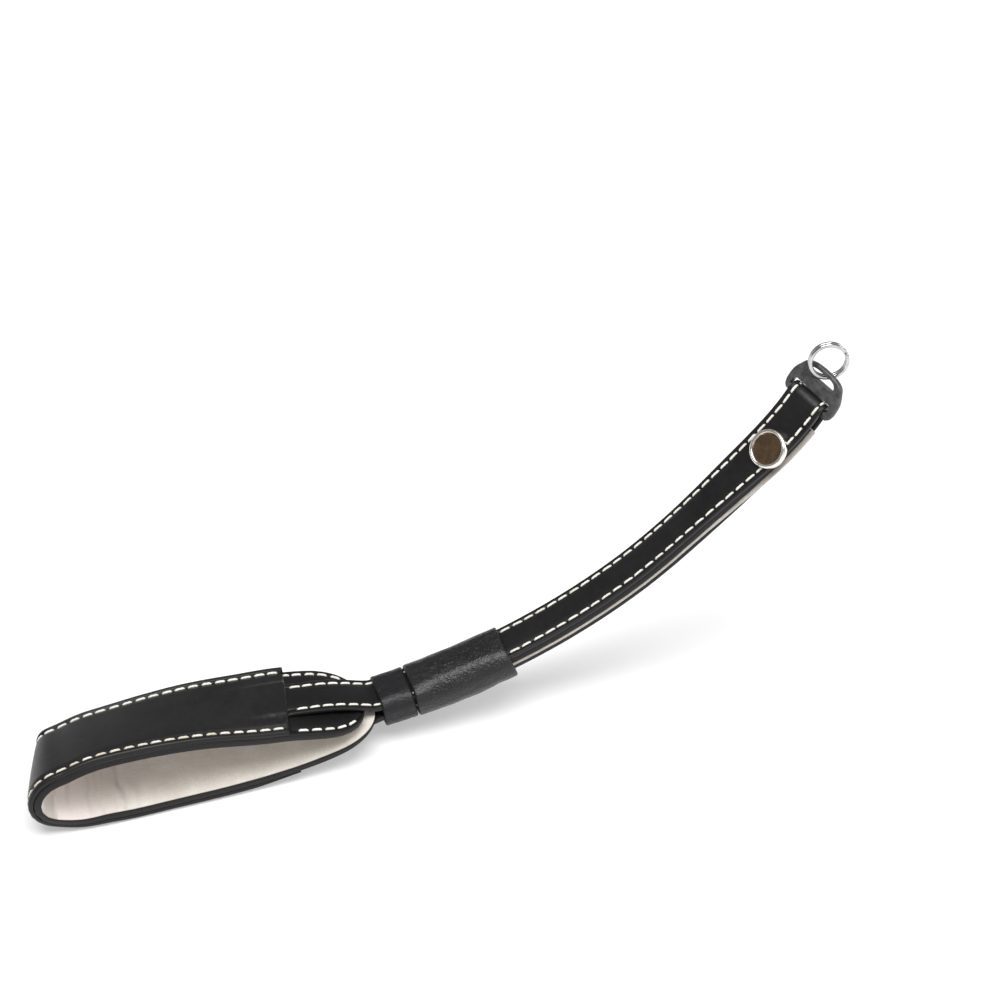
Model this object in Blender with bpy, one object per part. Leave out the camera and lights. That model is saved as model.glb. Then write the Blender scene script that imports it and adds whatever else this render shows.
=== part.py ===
"""Leather hand grip strap: a wide lined hand loop, a narrow folded strap with
a fixed keeper and a sliding sleeve, a two-slot end link and a split ring.

Millimetres are used for the design numbers and turned into metres when the
meshes are made.  Design frame: +X runs along the strap from the loop to the
ring, +Z is up, the near side of the strap is -Y, and z = 0 is the lowest
point of the loop.  The finished part is moved so that its origin is the
centre of the split ring, where the strap is fixed.
"""
import bpy
import bmesh
import math
import numpy as np
from mathutils import Vector

# ------------------------------------------------------------- dimensions, mm
GAP = 0.30                 # gap kept between touching pieces

WIDE_W = 24.0              # width of the hand loop
LINING_T = 0.8             # suede lining of the loop
BASE_T = 0.9               # backing leather with the rounded ends
COVER_T = 1.1              # outer leather of the loop
R_LIN = (0.0, LINING_T)
R_BASE = (LINING_T + GAP, LINING_T + GAP + BASE_T)
R_COVER = (R_BASE[1] + GAP, R_BASE[1] + GAP + COVER_T)
WIDE_ROW = 10.3            # stitch rows of the loop, from its centre line
COVER_END = 20.4           # how far the outer leather stops short of the ends

NARROW_W = 11.0            # width of the narrow strap
NARROW_T = 1.1             # its outer leather
NLIN_T = 0.8               # its lining
NLIN_W = 10.6
NLIN_SHOW = 1.0
HALF_GAP = 0.25            # half the gap between the two runs
N_IN = HALF_GAP + NLIN_T + GAP       # inner face of the outer leather
N_OUT = N_IN + NARROW_T              # its outer face
NARROW_ROW = 4.0           # stitch rows of the narrow strap

THREAD = 0.45              # thread, as a square strand in its groove
GROOVE_W = THREAD + 2 * GAP
GROOVE_D = 0.5

# middle line of the narrow strap: straight, one arc, then easing to a slope
ARC_START = (-46.7, 10.8)
ARC_SLOPE = math.radians(7.8)
ARC_R = 146.0
ARC_LEN = 63.0
EASE_LEN = 42.0
EASE_SLOPE = math.radians(44.5)
END_LEN = 26.2
END_SLOPE = math.radians(60.0)
S_BAR = ARC_LEN + EASE_LEN + END_LEN  # the link's bar, along the middle line
TWIST_FROM, TWIST_TO = 82.0, 131.0    # where the strap turns about itself
TWIST_END = 27.0           # degrees
BAND_TWIST = 15.75         # lean of the loop's upper band and tip, degrees

KEEPER_S = (-5.8, 2.75)
KEEPER_IN = (11.7, 7.0)
KEEPER_WALL = 1.05
SLIDER_S = (3.1, 29.6)
SLIDER_IN = (12.1, 7.2)
SLIDER_WALL = 1.25
TUBE_DROP = 0.7            # both hang a little below the middle line

RIVET_S = 116.0
RIVET_OFF = 1.9            # towards the near edge
RIVET_R = 5.0
RIVET_POST_R = 1.5
BACK_R = 4.2

BAR_R = 1.05
LINK_W = 16.0
LINK_T = 1.8
LINK_MID = (3.05, 6.2)      # the cross plate, from the bar's axis
LINK_SLOT2 = 2.2           # height of the ring's slot
LINK_SLOT2_W = 8.8
LINK_ARCH = 1.2
LINK_TILT = 2.0

RING_R = 4.6
RING_WIRE_W = 1.0
RING_WIRE_H = 0.85
RING_LEAN = -48.0
RING_OUT = 2.65            # ring centre beyond the arch bar
RING_ASIDE = -1.2          # and towards the far side

# ------------------------------------------------------------------ clean up
for _ob in list(bpy.data.objects):
    bpy.data.objects.remove(_ob, do_unlink=True)


def material(name, colour, rough, metal=0.0):
    m = bpy.data.materials.new(name)
    m.use_nodes = True
    b = m.node_tree.nodes["Principled BSDF"]
    b.inputs["Base Color"].default_value = (*colour, 1.0)
    b.inputs["Roughness"].default_value = rough
    b.inputs["Metallic"].default_value = metal
    m.diffuse_color = (*colour, 1.0)
    return m


def v3(x, y, z):
    return np.array([x, y, z], float)


Y_NEAR = v3(0, -1, 0)


# ------------------------------------------------------------------- splines
def spline(points, spacing):
    """A natural cubic through 2-D points, read at about even spacing."""
    p = np.array(points, float)
    t = np.concatenate([[0.0], np.cumsum(np.linalg.norm(np.diff(p, axis=0), axis=1))])
    n = len(p)
    h = np.diff(t)
    a = np.zeros((n, n))
    r = np.zeros((n, 2))
    a[0, 0] = a[-1, -1] = 1.0
    for i in range(1, n - 1):
        a[i, i - 1] = h[i - 1]
        a[i, i] = 2 * (h[i - 1] + h[i])
        a[i, i + 1] = h[i]
        r[i] = 6 * ((p[i + 1] - p[i]) / h[i] - (p[i] - p[i - 1]) / h[i - 1])
    m = np.linalg.solve(a, r)

    def at(u):
        i = int(np.clip(np.searchsorted(t, u) - 1, 0, n - 2))
        d0, d1, hh = u - t[i], t[i + 1] - u, h[i]
        return (m[i] * d1 ** 3 / (6 * hh) + m[i + 1] * d0 ** 3 / (6 * hh)
                + (p[i] / hh - m[i] * hh / 6) * d1 + (p[i + 1] / hh - m[i + 1] * hh / 6) * d0)

    fine = np.array([at(u) for u in np.linspace(0, t[-1], 900)])
    s = np.concatenate([[0.0], np.cumsum(np.linalg.norm(np.diff(fine, axis=0), axis=1))])
    count = max(3, int(round(s[-1] / spacing)) + 1)
    return s, fine, count


def read(s, fine, u):
    return np.array([np.interp(u, s, fine[:, 0]), np.interp(u, s, fine[:, 1])])


def smooth(u):
    u = min(1.0, max(0.0, u))
    return u * u * (3 - 2 * u)


# ----------------------------------------------------- middle line of the strap
def mid_slope(s):
    if s <= 0:
        return ARC_SLOPE
    if s <= ARC_LEN:
        return ARC_SLOPE + s / ARC_R
    a = ARC_SLOPE + ARC_LEN / ARC_R
    if s <= ARC_LEN + EASE_LEN:
        u = (s - ARC_LEN) / EASE_LEN
        return a + (EASE_SLOPE - a) * (2 * u - u * u)
    u = min(1.0, (s - ARC_LEN - EASE_LEN) / END_LEN)
    return EASE_SLOPE + (END_SLOPE - EASE_SLOPE) * u * u


def mid_table():
    step = 0.25
    ss = [0.0]
    pts = [np.array(ARC_START)]
    while ss[-1] < S_BAR + 1:
        s = ss[-1]
        a = mid_slope(s + step / 2)
        pts.append(pts[-1] + step * np.array([math.cos(a), math.sin(a)]))
        ss.append(s + step)
    return np.array(ss), np.array(pts)


MID_S, MID_P = mid_table()


def twist_at(s):
    return math.radians(TWIST_END * smooth((s - TWIST_FROM) / (TWIST_TO - TWIST_FROM)))


def mid_frame(s):
    """Point, tangent, width (near side) and normal on the middle line."""
    sl = mid_slope(s)
    if s < 0:
        p = np.array(ARC_START) + s * np.array([math.cos(sl), math.sin(sl)])
    else:
        p = np.array([np.interp(s, MID_S, MID_P[:, 0]), np.interp(s, MID_S, MID_P[:, 1])])
    t = v3(math.cos(sl), 0, math.sin(sl))
    n0 = v3(-math.sin(sl), 0, math.cos(sl))
    a = twist_at(s)
    w = math.cos(a) * Y_NEAR - math.sin(a) * n0
    n = math.cos(a) * n0 + math.sin(a) * Y_NEAR
    return v3(p[0], 0, p[1]), t, w, n


# ----------------------------------------------------------------- hand loop
LOOP_POINTS = [
    (-56.6, 10.75), (-60.0, 11.1), (-66.0, 12.0), (-71.0, 12.9), (-77.0, 14.1),
    (-87.0, 15.2), (-96.0, 16.35), (-108.0, 16.9), (-120.0, 16.4),
    (-128.5, 15.25), (-133.1, 13.75), (-136.6, 12.2), (-137.3, 9.5), (-135.2, 7.7),
    (-130.4, 5.2), (-123.0, 3.6), (-110.0, 3.4), (-98.0, 3.5), (-89.0, 3.85),
    (-81.0, 4.55), (-76.0, 5.2), (-71.0, 6.15), (-66.0, 7.35), (-61.0, 8.6),
    (-57.0, 9.35), (-53.8, 9.62)]
LOOP_S, LOOP_F, LOOP_N = spline(LOOP_POINTS, 2.9)
LOOP_LEN = LOOP_S[-1]


def loop_twist(s):
    """The upper band leans: its near edge is higher towards the loop's tip."""
    p = read(LOOP_S, LOOP_F, s)
    up = s < LOOP_LEN * 0.5
    if up:
        u = (-68.6 - p[0]) / 61.0
        return math.radians(BAND_TWIST * smooth(u))
    u = (p[0] + 137.3) / 14.0
    return math.radians(BAND_TWIST * (1 - smooth(u)))


def loop_frame(s):
    a = read(LOOP_S, LOOP_F, max(0.0, s - 0.4))
    b = read(LOOP_S, LOOP_F, min(LOOP_LEN, s + 0.4))
    p = read(LOOP_S, LOOP_F, s)
    t2 = (b - a) / np.linalg.norm(b - a)
    t = v3(t2[0], 0, t2[1])
    r0 = v3(t2[1], 0, -t2[0])       # outward: up on the upper band
    k = loop_twist(s)
    w = math.cos(k) * Y_NEAR + math.sin(k) * r0
    r = math.cos(k) * r0 - math.sin(k) * Y_NEAR
    return v3(p[0], 0, p[1]), t, w, r


def end_round(d, half, blunt=2.6, reach=13.0):
    """Half width at a distance d from a rounded end."""
    if d >= reach:
        return half
    q = min(1.0, (reach - d) / reach)
    return max(blunt, half * (1 - q ** 2.4) ** (1 / 2.4))


def skive(d):
    return 0.5 + 0.5 * smooth(d / 16.0)


def loop_stations(keep, spacing=4.2):
    """Stations shared by every layer of the loop, so that their faces stay
    parallel: the kept ones, and evenly spaced ones between them."""
    out = sorted(keep)
    full = [out[0]]
    for a, b in zip(out[:-1], out[1:]):
        n = max(1, int(math.ceil((b - a) / spacing)))
        full += [a + (b - a) * i / n for i in range(1, n + 1)]
    return full


# -------------------------------------------------------------- mesh building
ORIGIN = None


def make(name, verts, faces, mat, sharp=30.0):
    me = bpy.data.meshes.new(name)
    me.from_pydata([tuple((np.array(v) - ORIGIN) * 0.001) for v in verts], [], faces)
    me.validate()
    bm = bmesh.new()
    bm.from_mesh(me)
    bmesh.ops.recalc_face_normals(bm, faces=bm.faces)
    if bm.calc_volume(signed=True) < 0:
        bmesh.ops.reverse_faces(bm, faces=bm.faces)
    bm.to_mesh(me)
    bm.free()
    me.shade_smooth()
    me.set_sharp_from_angle(angle=math.radians(sharp))
    ob = bpy.data.objects.new(name, me)
    bpy.context.scene.collection.objects.link(ob)
    me.materials.append(mat)
    return ob


def sweep(name, rings, mat, closed=False, sharp=30.0):
    """Join rings of points, with a cap at each end."""
    n = len(rings[0])
    verts = [p for r in rings for p in r]
    faces = []
    m = len(rings)
    for i in range(m if closed else m - 1):
        j = (i + 1) % m
        for k in range(n):
            l = (k + 1) % n
            # the same diagonal everywhere, so that layers stay parallel
            faces.append((i * n + k, i * n + l, j * n + l))
            faces.append((i * n + k, j * n + l, j * n + k))
    if not closed:
        faces.append(tuple(range(n))[::-1])
        faces.append(tuple((m - 1) * n + k for k in range(n)))
    return make(name, verts, faces, mat, sharp)


def place(frame, pts):
    p, _, w, r = frame
    return [p + a * w + b * r for a, b in pts]


def grooved(half, r0, r1, row, ch=0.3):
    """Section of a strip with a stitch groove along each edge."""
    g = GROOVE_W / 2
    pts = [(half, r0), (half, r1 - ch), (half - ch, r1)]
    for c in (row, -row):
        if c < 0:
            pts.append((0.0, r1))
        pts += [(c + g, r1), (c + g, r1 - GROOVE_D), (c - g, r1 - GROOVE_D), (c - g, r1)]
    pts += [(-half + ch, r1), (-half, r1 - ch), (-half, r0), (0.0, r0)]
    return pts


def strand(c, r):
    h = THREAD / 2
    return [(c + h, r), (c + h, r + THREAD), (c - h, r + THREAD), (c - h, r)]


# ------------------------------------------------------- narrow strap stations
def upper_path():
    """Centre of the outer leather from the seam to the keeper."""
    p, t, w, n = mid_frame(KEEPER_S[0] - 0.5)
    q = p + (N_IN + NARROW_T / 2) * n
    e = q + 3.0 * t
    pts = [(-75.5, 16.85), (-71.0, 16.3), (-65.0, 15.35), (-60.5, 14.1), (-57.0, 12.85),
           (-54.8, 12.1), (q[0], q[2]), (e[0], e[2])]
    s, f, _ = spline(pts, 2.5)
    return s, f, q


def lower_path():
    p, t, w, n = mid_frame(KEEPER_S[0] - 0.5)
    q = p - (N_IN + NARROW_T / 2) * n
    e = q + 3.0 * t
    pts = [(-74.9, 2.35), (-71.0, 3.2), (-66.0, 4.45), (-61.0, 5.75), (-57.0, 6.85),
           (-54.6, 7.5), (q[0], q[2]), (e[0], e[2])]
    s, f, _ = spline(pts, 2.5)
    return s, f, q


def strip_frames():
    """Frames of the folded strip's leather centre, from the top seam, up the
    strap, round the bar and back to the lower seam.  The third vector points
    out of the fold."""
    out = []
    c = N_IN + NARROW_T / 2
    s, f, q = upper_path()
    stop = s[np.argmin(np.abs(f[:, 0] - q[0]))]
    for u in np.linspace(0, stop, 11)[:-1]:
        a, b = read(s, f, max(0, u - 0.3)), read(s, f, u + 0.3)
        d = (b - a) / np.linalg.norm(b - a)
        p = read(s, f, u)
        out.append((v3(p[0], 0, p[1]), v3(d[0], 0, d[1]), Y_NEAR, v3(-d[1], 0, d[0])))
    run = [KEEPER_S[0] - 0.5 + i * 3.9 for i in range(50)]
    run = [x for x in run if x < S_BAR - 2.5] + [S_BAR]
    for u in run:
        p, t, w, n = mid_frame(u)
        out.append((p + c * n, t, w, n))
    p, t, w, n = mid_frame(S_BAR)
    for k in range(1, 8):
        a = math.pi * k / 8
        r = math.cos(a) * n + math.sin(a) * t
        out.append((p + c * r, math.cos(a) * t - math.sin(a) * n, w, r))
    for u in run[::-1]:
        p, t, w, n = mid_frame(u)
        out.append((p - c * n, -t, w, -n))
    s, f, q = lower_path()
    stop = s[np.argmin(np.abs(f[:, 0] - q[0]))]
    for u in np.linspace(stop, 0, 11)[1:]:
        a, b = read(s, f, max(0, u - 0.3)), read(s, f, u + 0.3)
        d = (b - a) / np.linalg.norm(b - a)
        p = read(s, f, u)
        out.append((v3(p[0], 0, p[1]), v3(-d[0], 0, -d[1]), Y_NEAR, v3(d[1], 0, -d[0])))
    return out


# ------------------------------------------------------------- tube sections
def rounded_rect(w, h, r, n):
    pts = []
    for cx, cy, a0 in ((w / 2 - r, h / 2 - r, 0), (-w / 2 + r, h / 2 - r, 90),
                       (-w / 2 + r, -h / 2 + r, 180), (w / 2 - r, -h / 2 + r, 270)):
        for i in range(n + 1):
            a = math.radians(a0 + 90 * i / n)
            pts.append((cx + r * math.cos(a), cy + r * math.sin(a)))
    return pts


def tube(name, s0, s1, inner, wall, radius, n_len, mat, n_arc=3):
    """A leather sleeve on the middle line: outer wall, inner wall, two rims."""
    po = rounded_rect(inner[0] + 2 * wall, inner[1] + 2 * wall, radius, n_arc)
    pi = rounded_rect(inner[0], inner[1], max(0.4, radius - wall), n_arc)
    po = [(u, v - TUBE_DROP) for u, v in po]
    pi = [(u, v - TUBE_DROP) for u, v in pi]
    k = len(po)
    stations = np.linspace(s0, s1, n_len + 1)
    outer = [place(mid_frame(s), po) for s in stations]
    innr = [place(mid_frame(s), pi) for s in stations]
    rings = outer + innr[::-1]
    verts = [p for r in rings for p in r]
    faces = []
    m = len(rings)
    for i in range(m):
        j = (i + 1) % m
        for a in range(k):
            b = (a + 1) % k
            faces.append((i * k + a, i * k + b, j * k + b, j * k + a))
    return make(name, verts, faces, mat)


# ---------------------------------------------------------------- ring centre
def link_frame():
    p, t, w, n = mid_frame(S_BAR)
    a = math.radians(LINK_TILT)
    ax = math.cos(a) * t + math.sin(a) * n
    up = math.cos(a) * n - math.sin(a) * t
    return p, ax, w, up


ARCH_V = LINK_MID[1] + LINK_SLOT2 + LINK_ARCH / 2


def ring_frame():
    p, ax, w, up = link_frame()
    a = math.radians(RING_LEAN)
    side = math.cos(a) * w + math.sin(a) * up
    normal = np.cross(ax, side)
    return p + (ARCH_V + RING_OUT) * ax + RING_ASIDE * w, ax, side, normal


ORIGIN = ring_frame()[0]

# ------------------------------------------------------------------ materials
M_COVER = material("cover_leather", (0.018, 0.017, 0.017), 0.38)
M_BASE = material("backing_leather", (0.016, 0.015, 0.015), 0.5)
M_LIN = material("suede_lining", (0.55, 0.50, 0.44), 0.95)
M_STRAP = material("strap_leather", (0.016, 0.015, 0.016), 0.4)
M_THREAD = material("thread", (0.82, 0.80, 0.74), 0.7)
M_STEEL = material("polished_steel", (0.78, 0.77, 0.75), 0.15, 1.0)
M_LINK = material("link_plastic", (0.075, 0.075, 0.08), 0.42)

# ------------------------------------------------------------------ hand loop
ENDS = (0.0, LOOP_LEN)


def from_end(s):
    return min(s, LOOP_LEN - s)


near_ends = [0.5, 1.2, 2.4, 4.0, 6.0, 8.5, 11.0, 14.0, 17.0]
near_ends = near_ends + [LOOP_LEN - e for e in near_ends]
TIP = [float(s) for s in np.linspace(72, 112, 25)]
C0, C1 = COVER_END, LOOP_LEN - COVER_END - 2.6
STATIONS = loop_stations([0.0, LOOP_LEN, C0, C1, C0 - 0.75, C1 + 0.75] + near_ends + TIP)

stations = STATIONS
rings_lin, rings_base = [], []
for s in stations:
    d = from_end(s)
    k = skive(d)
    fr = loop_frame(s)
    hw = end_round(d, WIDE_W / 2)
    hl = hw - 0.15
    lo, hi = R_LIN[0], R_LIN[1] * k
    rings_lin.append(place(fr, [(hl, lo), (hl, hi), (0, hi), (-hl, hi), (-hl, lo), (0, lo)]))
    lo = R_LIN[1] * k + GAP
    hi = lo + BASE_T * k
    rings_base.append(place(fr, [(hw, lo), (hw, hi), (0, hi), (-hw, hi), (-hw, lo), (0, lo)]))
sweep("loop_lining", rings_lin, M_LIN)
sweep("loop_backing", rings_base, M_BASE)

stations = [s for s in STATIONS if C0 <= s <= C1]
sec = grooved(WIDE_W / 2, R_COVER[0], R_COVER[1], WIDE_ROW)
sweep("loop_cover", [place(loop_frame(s), sec) for s in stations], M_COVER)


def loop_thread(name, side):
    """Stitch row: round one edge of a rounded end, up on to the outer
    leather, along its groove and down to the other rounded end."""
    rings = []
    high_r = R_COVER[1] - GROOVE_D + GAP

    def low_ring(s):
        d = from_end(s)
        k = skive(d)
        r = R_LIN[1] * k + GAP + BASE_T * k + GAP
        w = end_round(d, WIDE_W / 2) - (WIDE_W / 2 - WIDE_ROW)
        return place(loop_frame(s), strand(side * w, r))

    for s in STATIONS:
        if s < 3.0 or s > LOOP_LEN - 3.0:
            continue
        if s < C0 - 1.0 or s > C1 + 1.0:
            rings.append(low_ring(s))
        else:
            rings.append(place(loop_frame(s), strand(side * WIDE_ROW, high_r)))
    sweep(name, rings, M_THREAD)


loop_thread("loop_thread_near", 1)
loop_thread("loop_thread_far", -1)

# --------------------------------------------------------------- narrow strap
frames = strip_frames()
half_t = NARROW_T / 2
sec = grooved(NARROW_W / 2, -half_t, half_t, NARROW_ROW, 0.25)
strap = sweep("strap_leather", [place(f, sec) for f in frames], M_STRAP)
for nm, side in (("strap_thread_near", 1), ("strap_thread_far", -1)):
    sweep(nm, [place(f, strand(side * NARROW_ROW, half_t - GROOVE_D + GAP)) for f in frames], M_THREAD)

run = [KEEPER_S[0] + 0.8 + i * 3.9 for i in range(50)]
run = [x for x in run if x < S_BAR - 6.5] + [S_BAR - 5.0]
hl = NLIN_W / 2
lin = []
for nm, side in (("strap_lining_upper", 1), ("strap_lining_lower", -1)):
    rings = []
    for s in run:
        p, t, w, n = mid_frame(s)
        a, b = side * HALF_GAP, side * (HALF_GAP + NLIN_T)
        # the lower lining shows more and more beyond the near edge
        hn = hl + (NLIN_SHOW * smooth((s - 84.0) / 34.0) if side < 0 else 0.0)
        rings.append([p + hn * w + a * n, p + hn * w + b * n, p - hl * w + b * n, p - hl * w + a * n])
    lin.append(sweep(nm, rings, M_BASE if side > 0 else M_LIN))

tube("fixed_keeper", *KEEPER_S, KEEPER_IN, KEEPER_WALL, 1.8, 3, M_STRAP)
slider = tube("sliding_sleeve", *SLIDER_S, SLIDER_IN, SLIDER_WALL, 2.2, 7, M_STRAP)

# ---------------------------------------------------------------------- rivet
RP, RT, RW, RN = mid_frame(RIVET_S)
RP = RP + RIVET_OFF * RW


def lathe(name, profile, base, axis, mat, seg=32, sharp=35.0):
    """Turn (radius, height) points about an axis; radius 0 closes the ends."""
    ref = v3(0, 1, 0) if abs(axis[1]) < 0.9 else v3(1, 0, 0)
    e1 = np.cross(axis, ref)
    e1 /= np.linalg.norm(e1)
    e2 = np.cross(axis, e1)
    verts, faces, rows = [], [], []
    for r, h in profile:
        if r == 0:
            rows.append([len(verts)])
            verts.append(base + h * axis)
        else:
            rows.append(list(range(len(verts), len(verts) + seg)))
            for i in range(seg):
                a = 2 * math.pi * i / seg
                verts.append(base + h * axis + r * (math.cos(a) * e1 + math.sin(a) * e2))
    for a, b in zip(rows[:-1], rows[1:]):
        for i in range(seg):
            j = (i + 1) % seg
            if len(a) == 1:
                faces.append((a[0], b[i], b[j]))
            elif len(b) == 1:
                faces.append((a[i], b[0], a[j]))
            else:
                faces.append((a[i], b[i], b[j], a[j]))
    return make(name, verts, faces, mat, sharp)


H0 = N_OUT + 0.5
lathe("rivet_cap", [(0, H0), (RIVET_R - 0.35, H0), (RIVET_R, H0 + 0.35), (RIVET_R, H0 + 0.8),
                    (RIVET_R - 0.35, H0 + 1.35), (RIVET_R - 0.9, H0 + 1.6), (RIVET_R - 1.25, H0 + 1.45),
                    (RIVET_R - 1.4, H0 + 1.15), (0, H0 + 1.15)], RP, RN, M_STEEL, 32)
H1 = -N_OUT - 0.5
lathe("rivet_back", [(0, H1), (BACK_R, H1), (BACK_R, H1 - 0.5), (BACK_R - 0.5, H1 - 0.9), (0, H1 - 1.0)],
      RP, RN, M_STEEL, 24)
lathe("rivet_post", [(0, H1 + GAP), (RIVET_POST_R, H1 + GAP), (RIVET_POST_R, H0 - GAP), (0, H0 - GAP)],
      RP, RN, M_STEEL, 20)

cutter = lathe("rivet_hole_cutter", [(0, -6), (RIVET_POST_R + GAP, -6), (RIVET_POST_R + GAP, 6), (0, 6)],
               RP, RN, M_STEEL, 20)
cutter.hide_render = True
cutter.display_type = "WIRE"
for ob in [strap] + lin:
    m = ob.modifiers.new("rivet_hole", "BOOLEAN")
    m.operation = "DIFFERENCE"
    m.solver = "EXACT"
    m.object = cutter

# -------------------------------------------------------------- two-slot link
LP, LA, LW, LN = link_frame()


def link_point(u, v, h):
    return LP + u * LW + v * LA + h * LN


def prism(name, outline, half, mat, ch=0.0):
    """A plate: an outline in the link's plane with both faces chamfered."""
    n = len(outline)
    c = np.mean(np.array(outline), axis=0)
    rings = []
    levels = [(-half, ch), (-half + ch, 0.0), (half - ch, 0.0), (half, ch)] if ch else [(-half, 0.0), (half, 0.0)]
    out = np.array(outline, float)
    nxt, prv = np.roll(out, -1, axis=0), np.roll(out, 1, axis=0)
    d = nxt - prv
    d /= np.linalg.norm(d, axis=1)[:, None]
    nrm = np.stack([d[:, 1], -d[:, 0]], axis=1)
    for h, inset in levels:
        q = out - inset * nrm
        rings.append([link_point(a, b, h) for a, b in q])
    return sweep(name, rings, mat, sharp=25.0)


def oval(u0, u1, v0, v1, r, n=5):
    pts = []
    for cx, cy, a0 in ((u1 - r, v1 - r, 0), (u0 + r, v1 - r, 90), (u0 + r, v0 + r, 180), (u1 - r, v0 + r, 270)):
        for i in range(n + 1):
            a = math.radians(a0 + 90 * i / n)
            pts.append((cx + r * math.cos(a), cy + r * math.sin(a)))
    return pts


def link_outline():
    """Rounded arms at the strap's slot, a cross plate, and the ring's arch."""
    foot = LINK_MID[1]
    top = LINK_MID[1] + LINK_SLOT2 + LINK_ARCH
    half = LINK_W / 2
    right = [(6.9, -0.85), (7.6, -0.2), (half, 1.2), (half, 3.0), (half - 0.15, 4.5), (half - 0.6, 5.7)]
    arc = []
    for i in range(1, 14):
        c, t = math.cos(math.pi * i / 14), math.sin(math.pi * i / 14)
        arc.append((6.7 * math.copysign(abs(c) ** 0.77, c), foot + (top - foot) * t ** 0.77))
    left = [(-u, v) for u, v in right[::-1]]
    mouth = [(-6.35, -0.85), (6.35, -0.85)]
    return right + arc + left + mouth


link = prism("end_link", link_outline(), LINK_T / 2, M_LINK, 0.35)
slot1 = prism("slot_cutter_1", [(-6.2, -3.0), (6.2, -3.0)] + [(6.2, 2.3), (5.7, LINK_MID[0])]
              + [(-5.7, LINK_MID[0]), (-6.2, 2.3)], 4.0, M_LINK)
slot2_pts = []
for i in range(15):
    a = math.pi * i / 14
    c = math.cos(a)
    slot2_pts.append((LINK_SLOT2_W / 2 * math.copysign(abs(c) ** 0.6, c),
                      LINK_MID[1] + LINK_SLOT2 * abs(math.sin(a)) ** 0.6))
slot2 = prism("slot_cutter_2", slot2_pts, 4.0, M_LINK)
bar = None
bar_pts = []
for u in (-6.9, 6.9):
    bar_pts.append([link_point(u, BAR_R * math.cos(a), BAR_R * math.sin(a))
                    for a in np.linspace(0, 2 * math.pi, 16, endpoint=False)])
bar = sweep("bar_tool", bar_pts, M_LINK)
for tool, op in ((slot1, "DIFFERENCE"), (slot2, "DIFFERENCE"), (bar, "UNION")):
    tool.hide_render = True
    tool.display_type = "WIRE"
    m = link.modifiers.new(tool.name, "BOOLEAN")
    m.operation = op
    m.solver = "EXACT"
    m.object = tool

# ----------------------------------------------------------------- split ring
RC, RA, RS, RNN = ring_frame()
rings = []
turns, per = 1.94, 36
steps = int(turns * per)
pitch = RING_WIRE_H + 0.12
for i in range(steps + 1):
    a = 2 * math.pi * (i / per) + 0.6
    # the two turns lie side by side and step across over a short stretch
    x = (i / per) % 1.0
    lift = (-0.5 if i / per < 1.0 else 0.5) * pitch
    if abs(i / per - 1.0) < 0.09:
        lift = (i / per - 1.0) / 0.09 * 0.5 * pitch
    e = math.cos(a) * RA + math.sin(a) * RS
    c = RC + RING_R * e + lift * RNN
    w, h = RING_WIRE_W / 2, RING_WIRE_H / 2
    ch = 0.22
    rings.append([c + x0 * e + y0 * RNN for x0, y0 in
                  ((w, h - ch), (w - ch, h), (-w + ch, h), (-w, h - ch),
                   (-w, -h + ch), (-w + ch, -h), (w - ch, -h), (w, -h + ch))])
sweep("split_ring", rings, M_STEEL, sharp=50.0)
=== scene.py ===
"""The looks of the leather hand grip strap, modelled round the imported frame.

The route functions and their numbers are those of the part's source, in
millimetres; every mesh is made in the design frame and moved so that the
centre of the split ring is the origin, as in the frame.
"""
import math
import bpy
import bmesh
import numpy as np
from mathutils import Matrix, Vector, noise


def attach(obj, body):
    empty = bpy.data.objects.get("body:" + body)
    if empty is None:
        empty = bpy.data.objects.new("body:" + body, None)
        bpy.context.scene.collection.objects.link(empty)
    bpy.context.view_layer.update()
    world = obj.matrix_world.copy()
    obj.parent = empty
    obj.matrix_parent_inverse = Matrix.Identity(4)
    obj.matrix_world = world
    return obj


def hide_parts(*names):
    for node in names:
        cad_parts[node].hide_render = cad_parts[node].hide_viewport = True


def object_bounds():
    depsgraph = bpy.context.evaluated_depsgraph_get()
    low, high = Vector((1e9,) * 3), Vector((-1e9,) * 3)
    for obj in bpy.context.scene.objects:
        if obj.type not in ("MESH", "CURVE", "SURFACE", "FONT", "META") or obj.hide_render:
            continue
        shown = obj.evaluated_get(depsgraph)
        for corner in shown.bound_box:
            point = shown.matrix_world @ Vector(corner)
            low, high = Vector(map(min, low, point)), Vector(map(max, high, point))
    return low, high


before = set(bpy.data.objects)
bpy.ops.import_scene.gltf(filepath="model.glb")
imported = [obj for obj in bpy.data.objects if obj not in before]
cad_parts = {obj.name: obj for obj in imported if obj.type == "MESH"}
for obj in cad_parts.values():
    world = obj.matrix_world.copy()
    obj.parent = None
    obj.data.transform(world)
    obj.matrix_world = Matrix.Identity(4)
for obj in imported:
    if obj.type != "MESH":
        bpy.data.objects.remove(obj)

CAD_BOX = [list(v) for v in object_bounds()]

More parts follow.
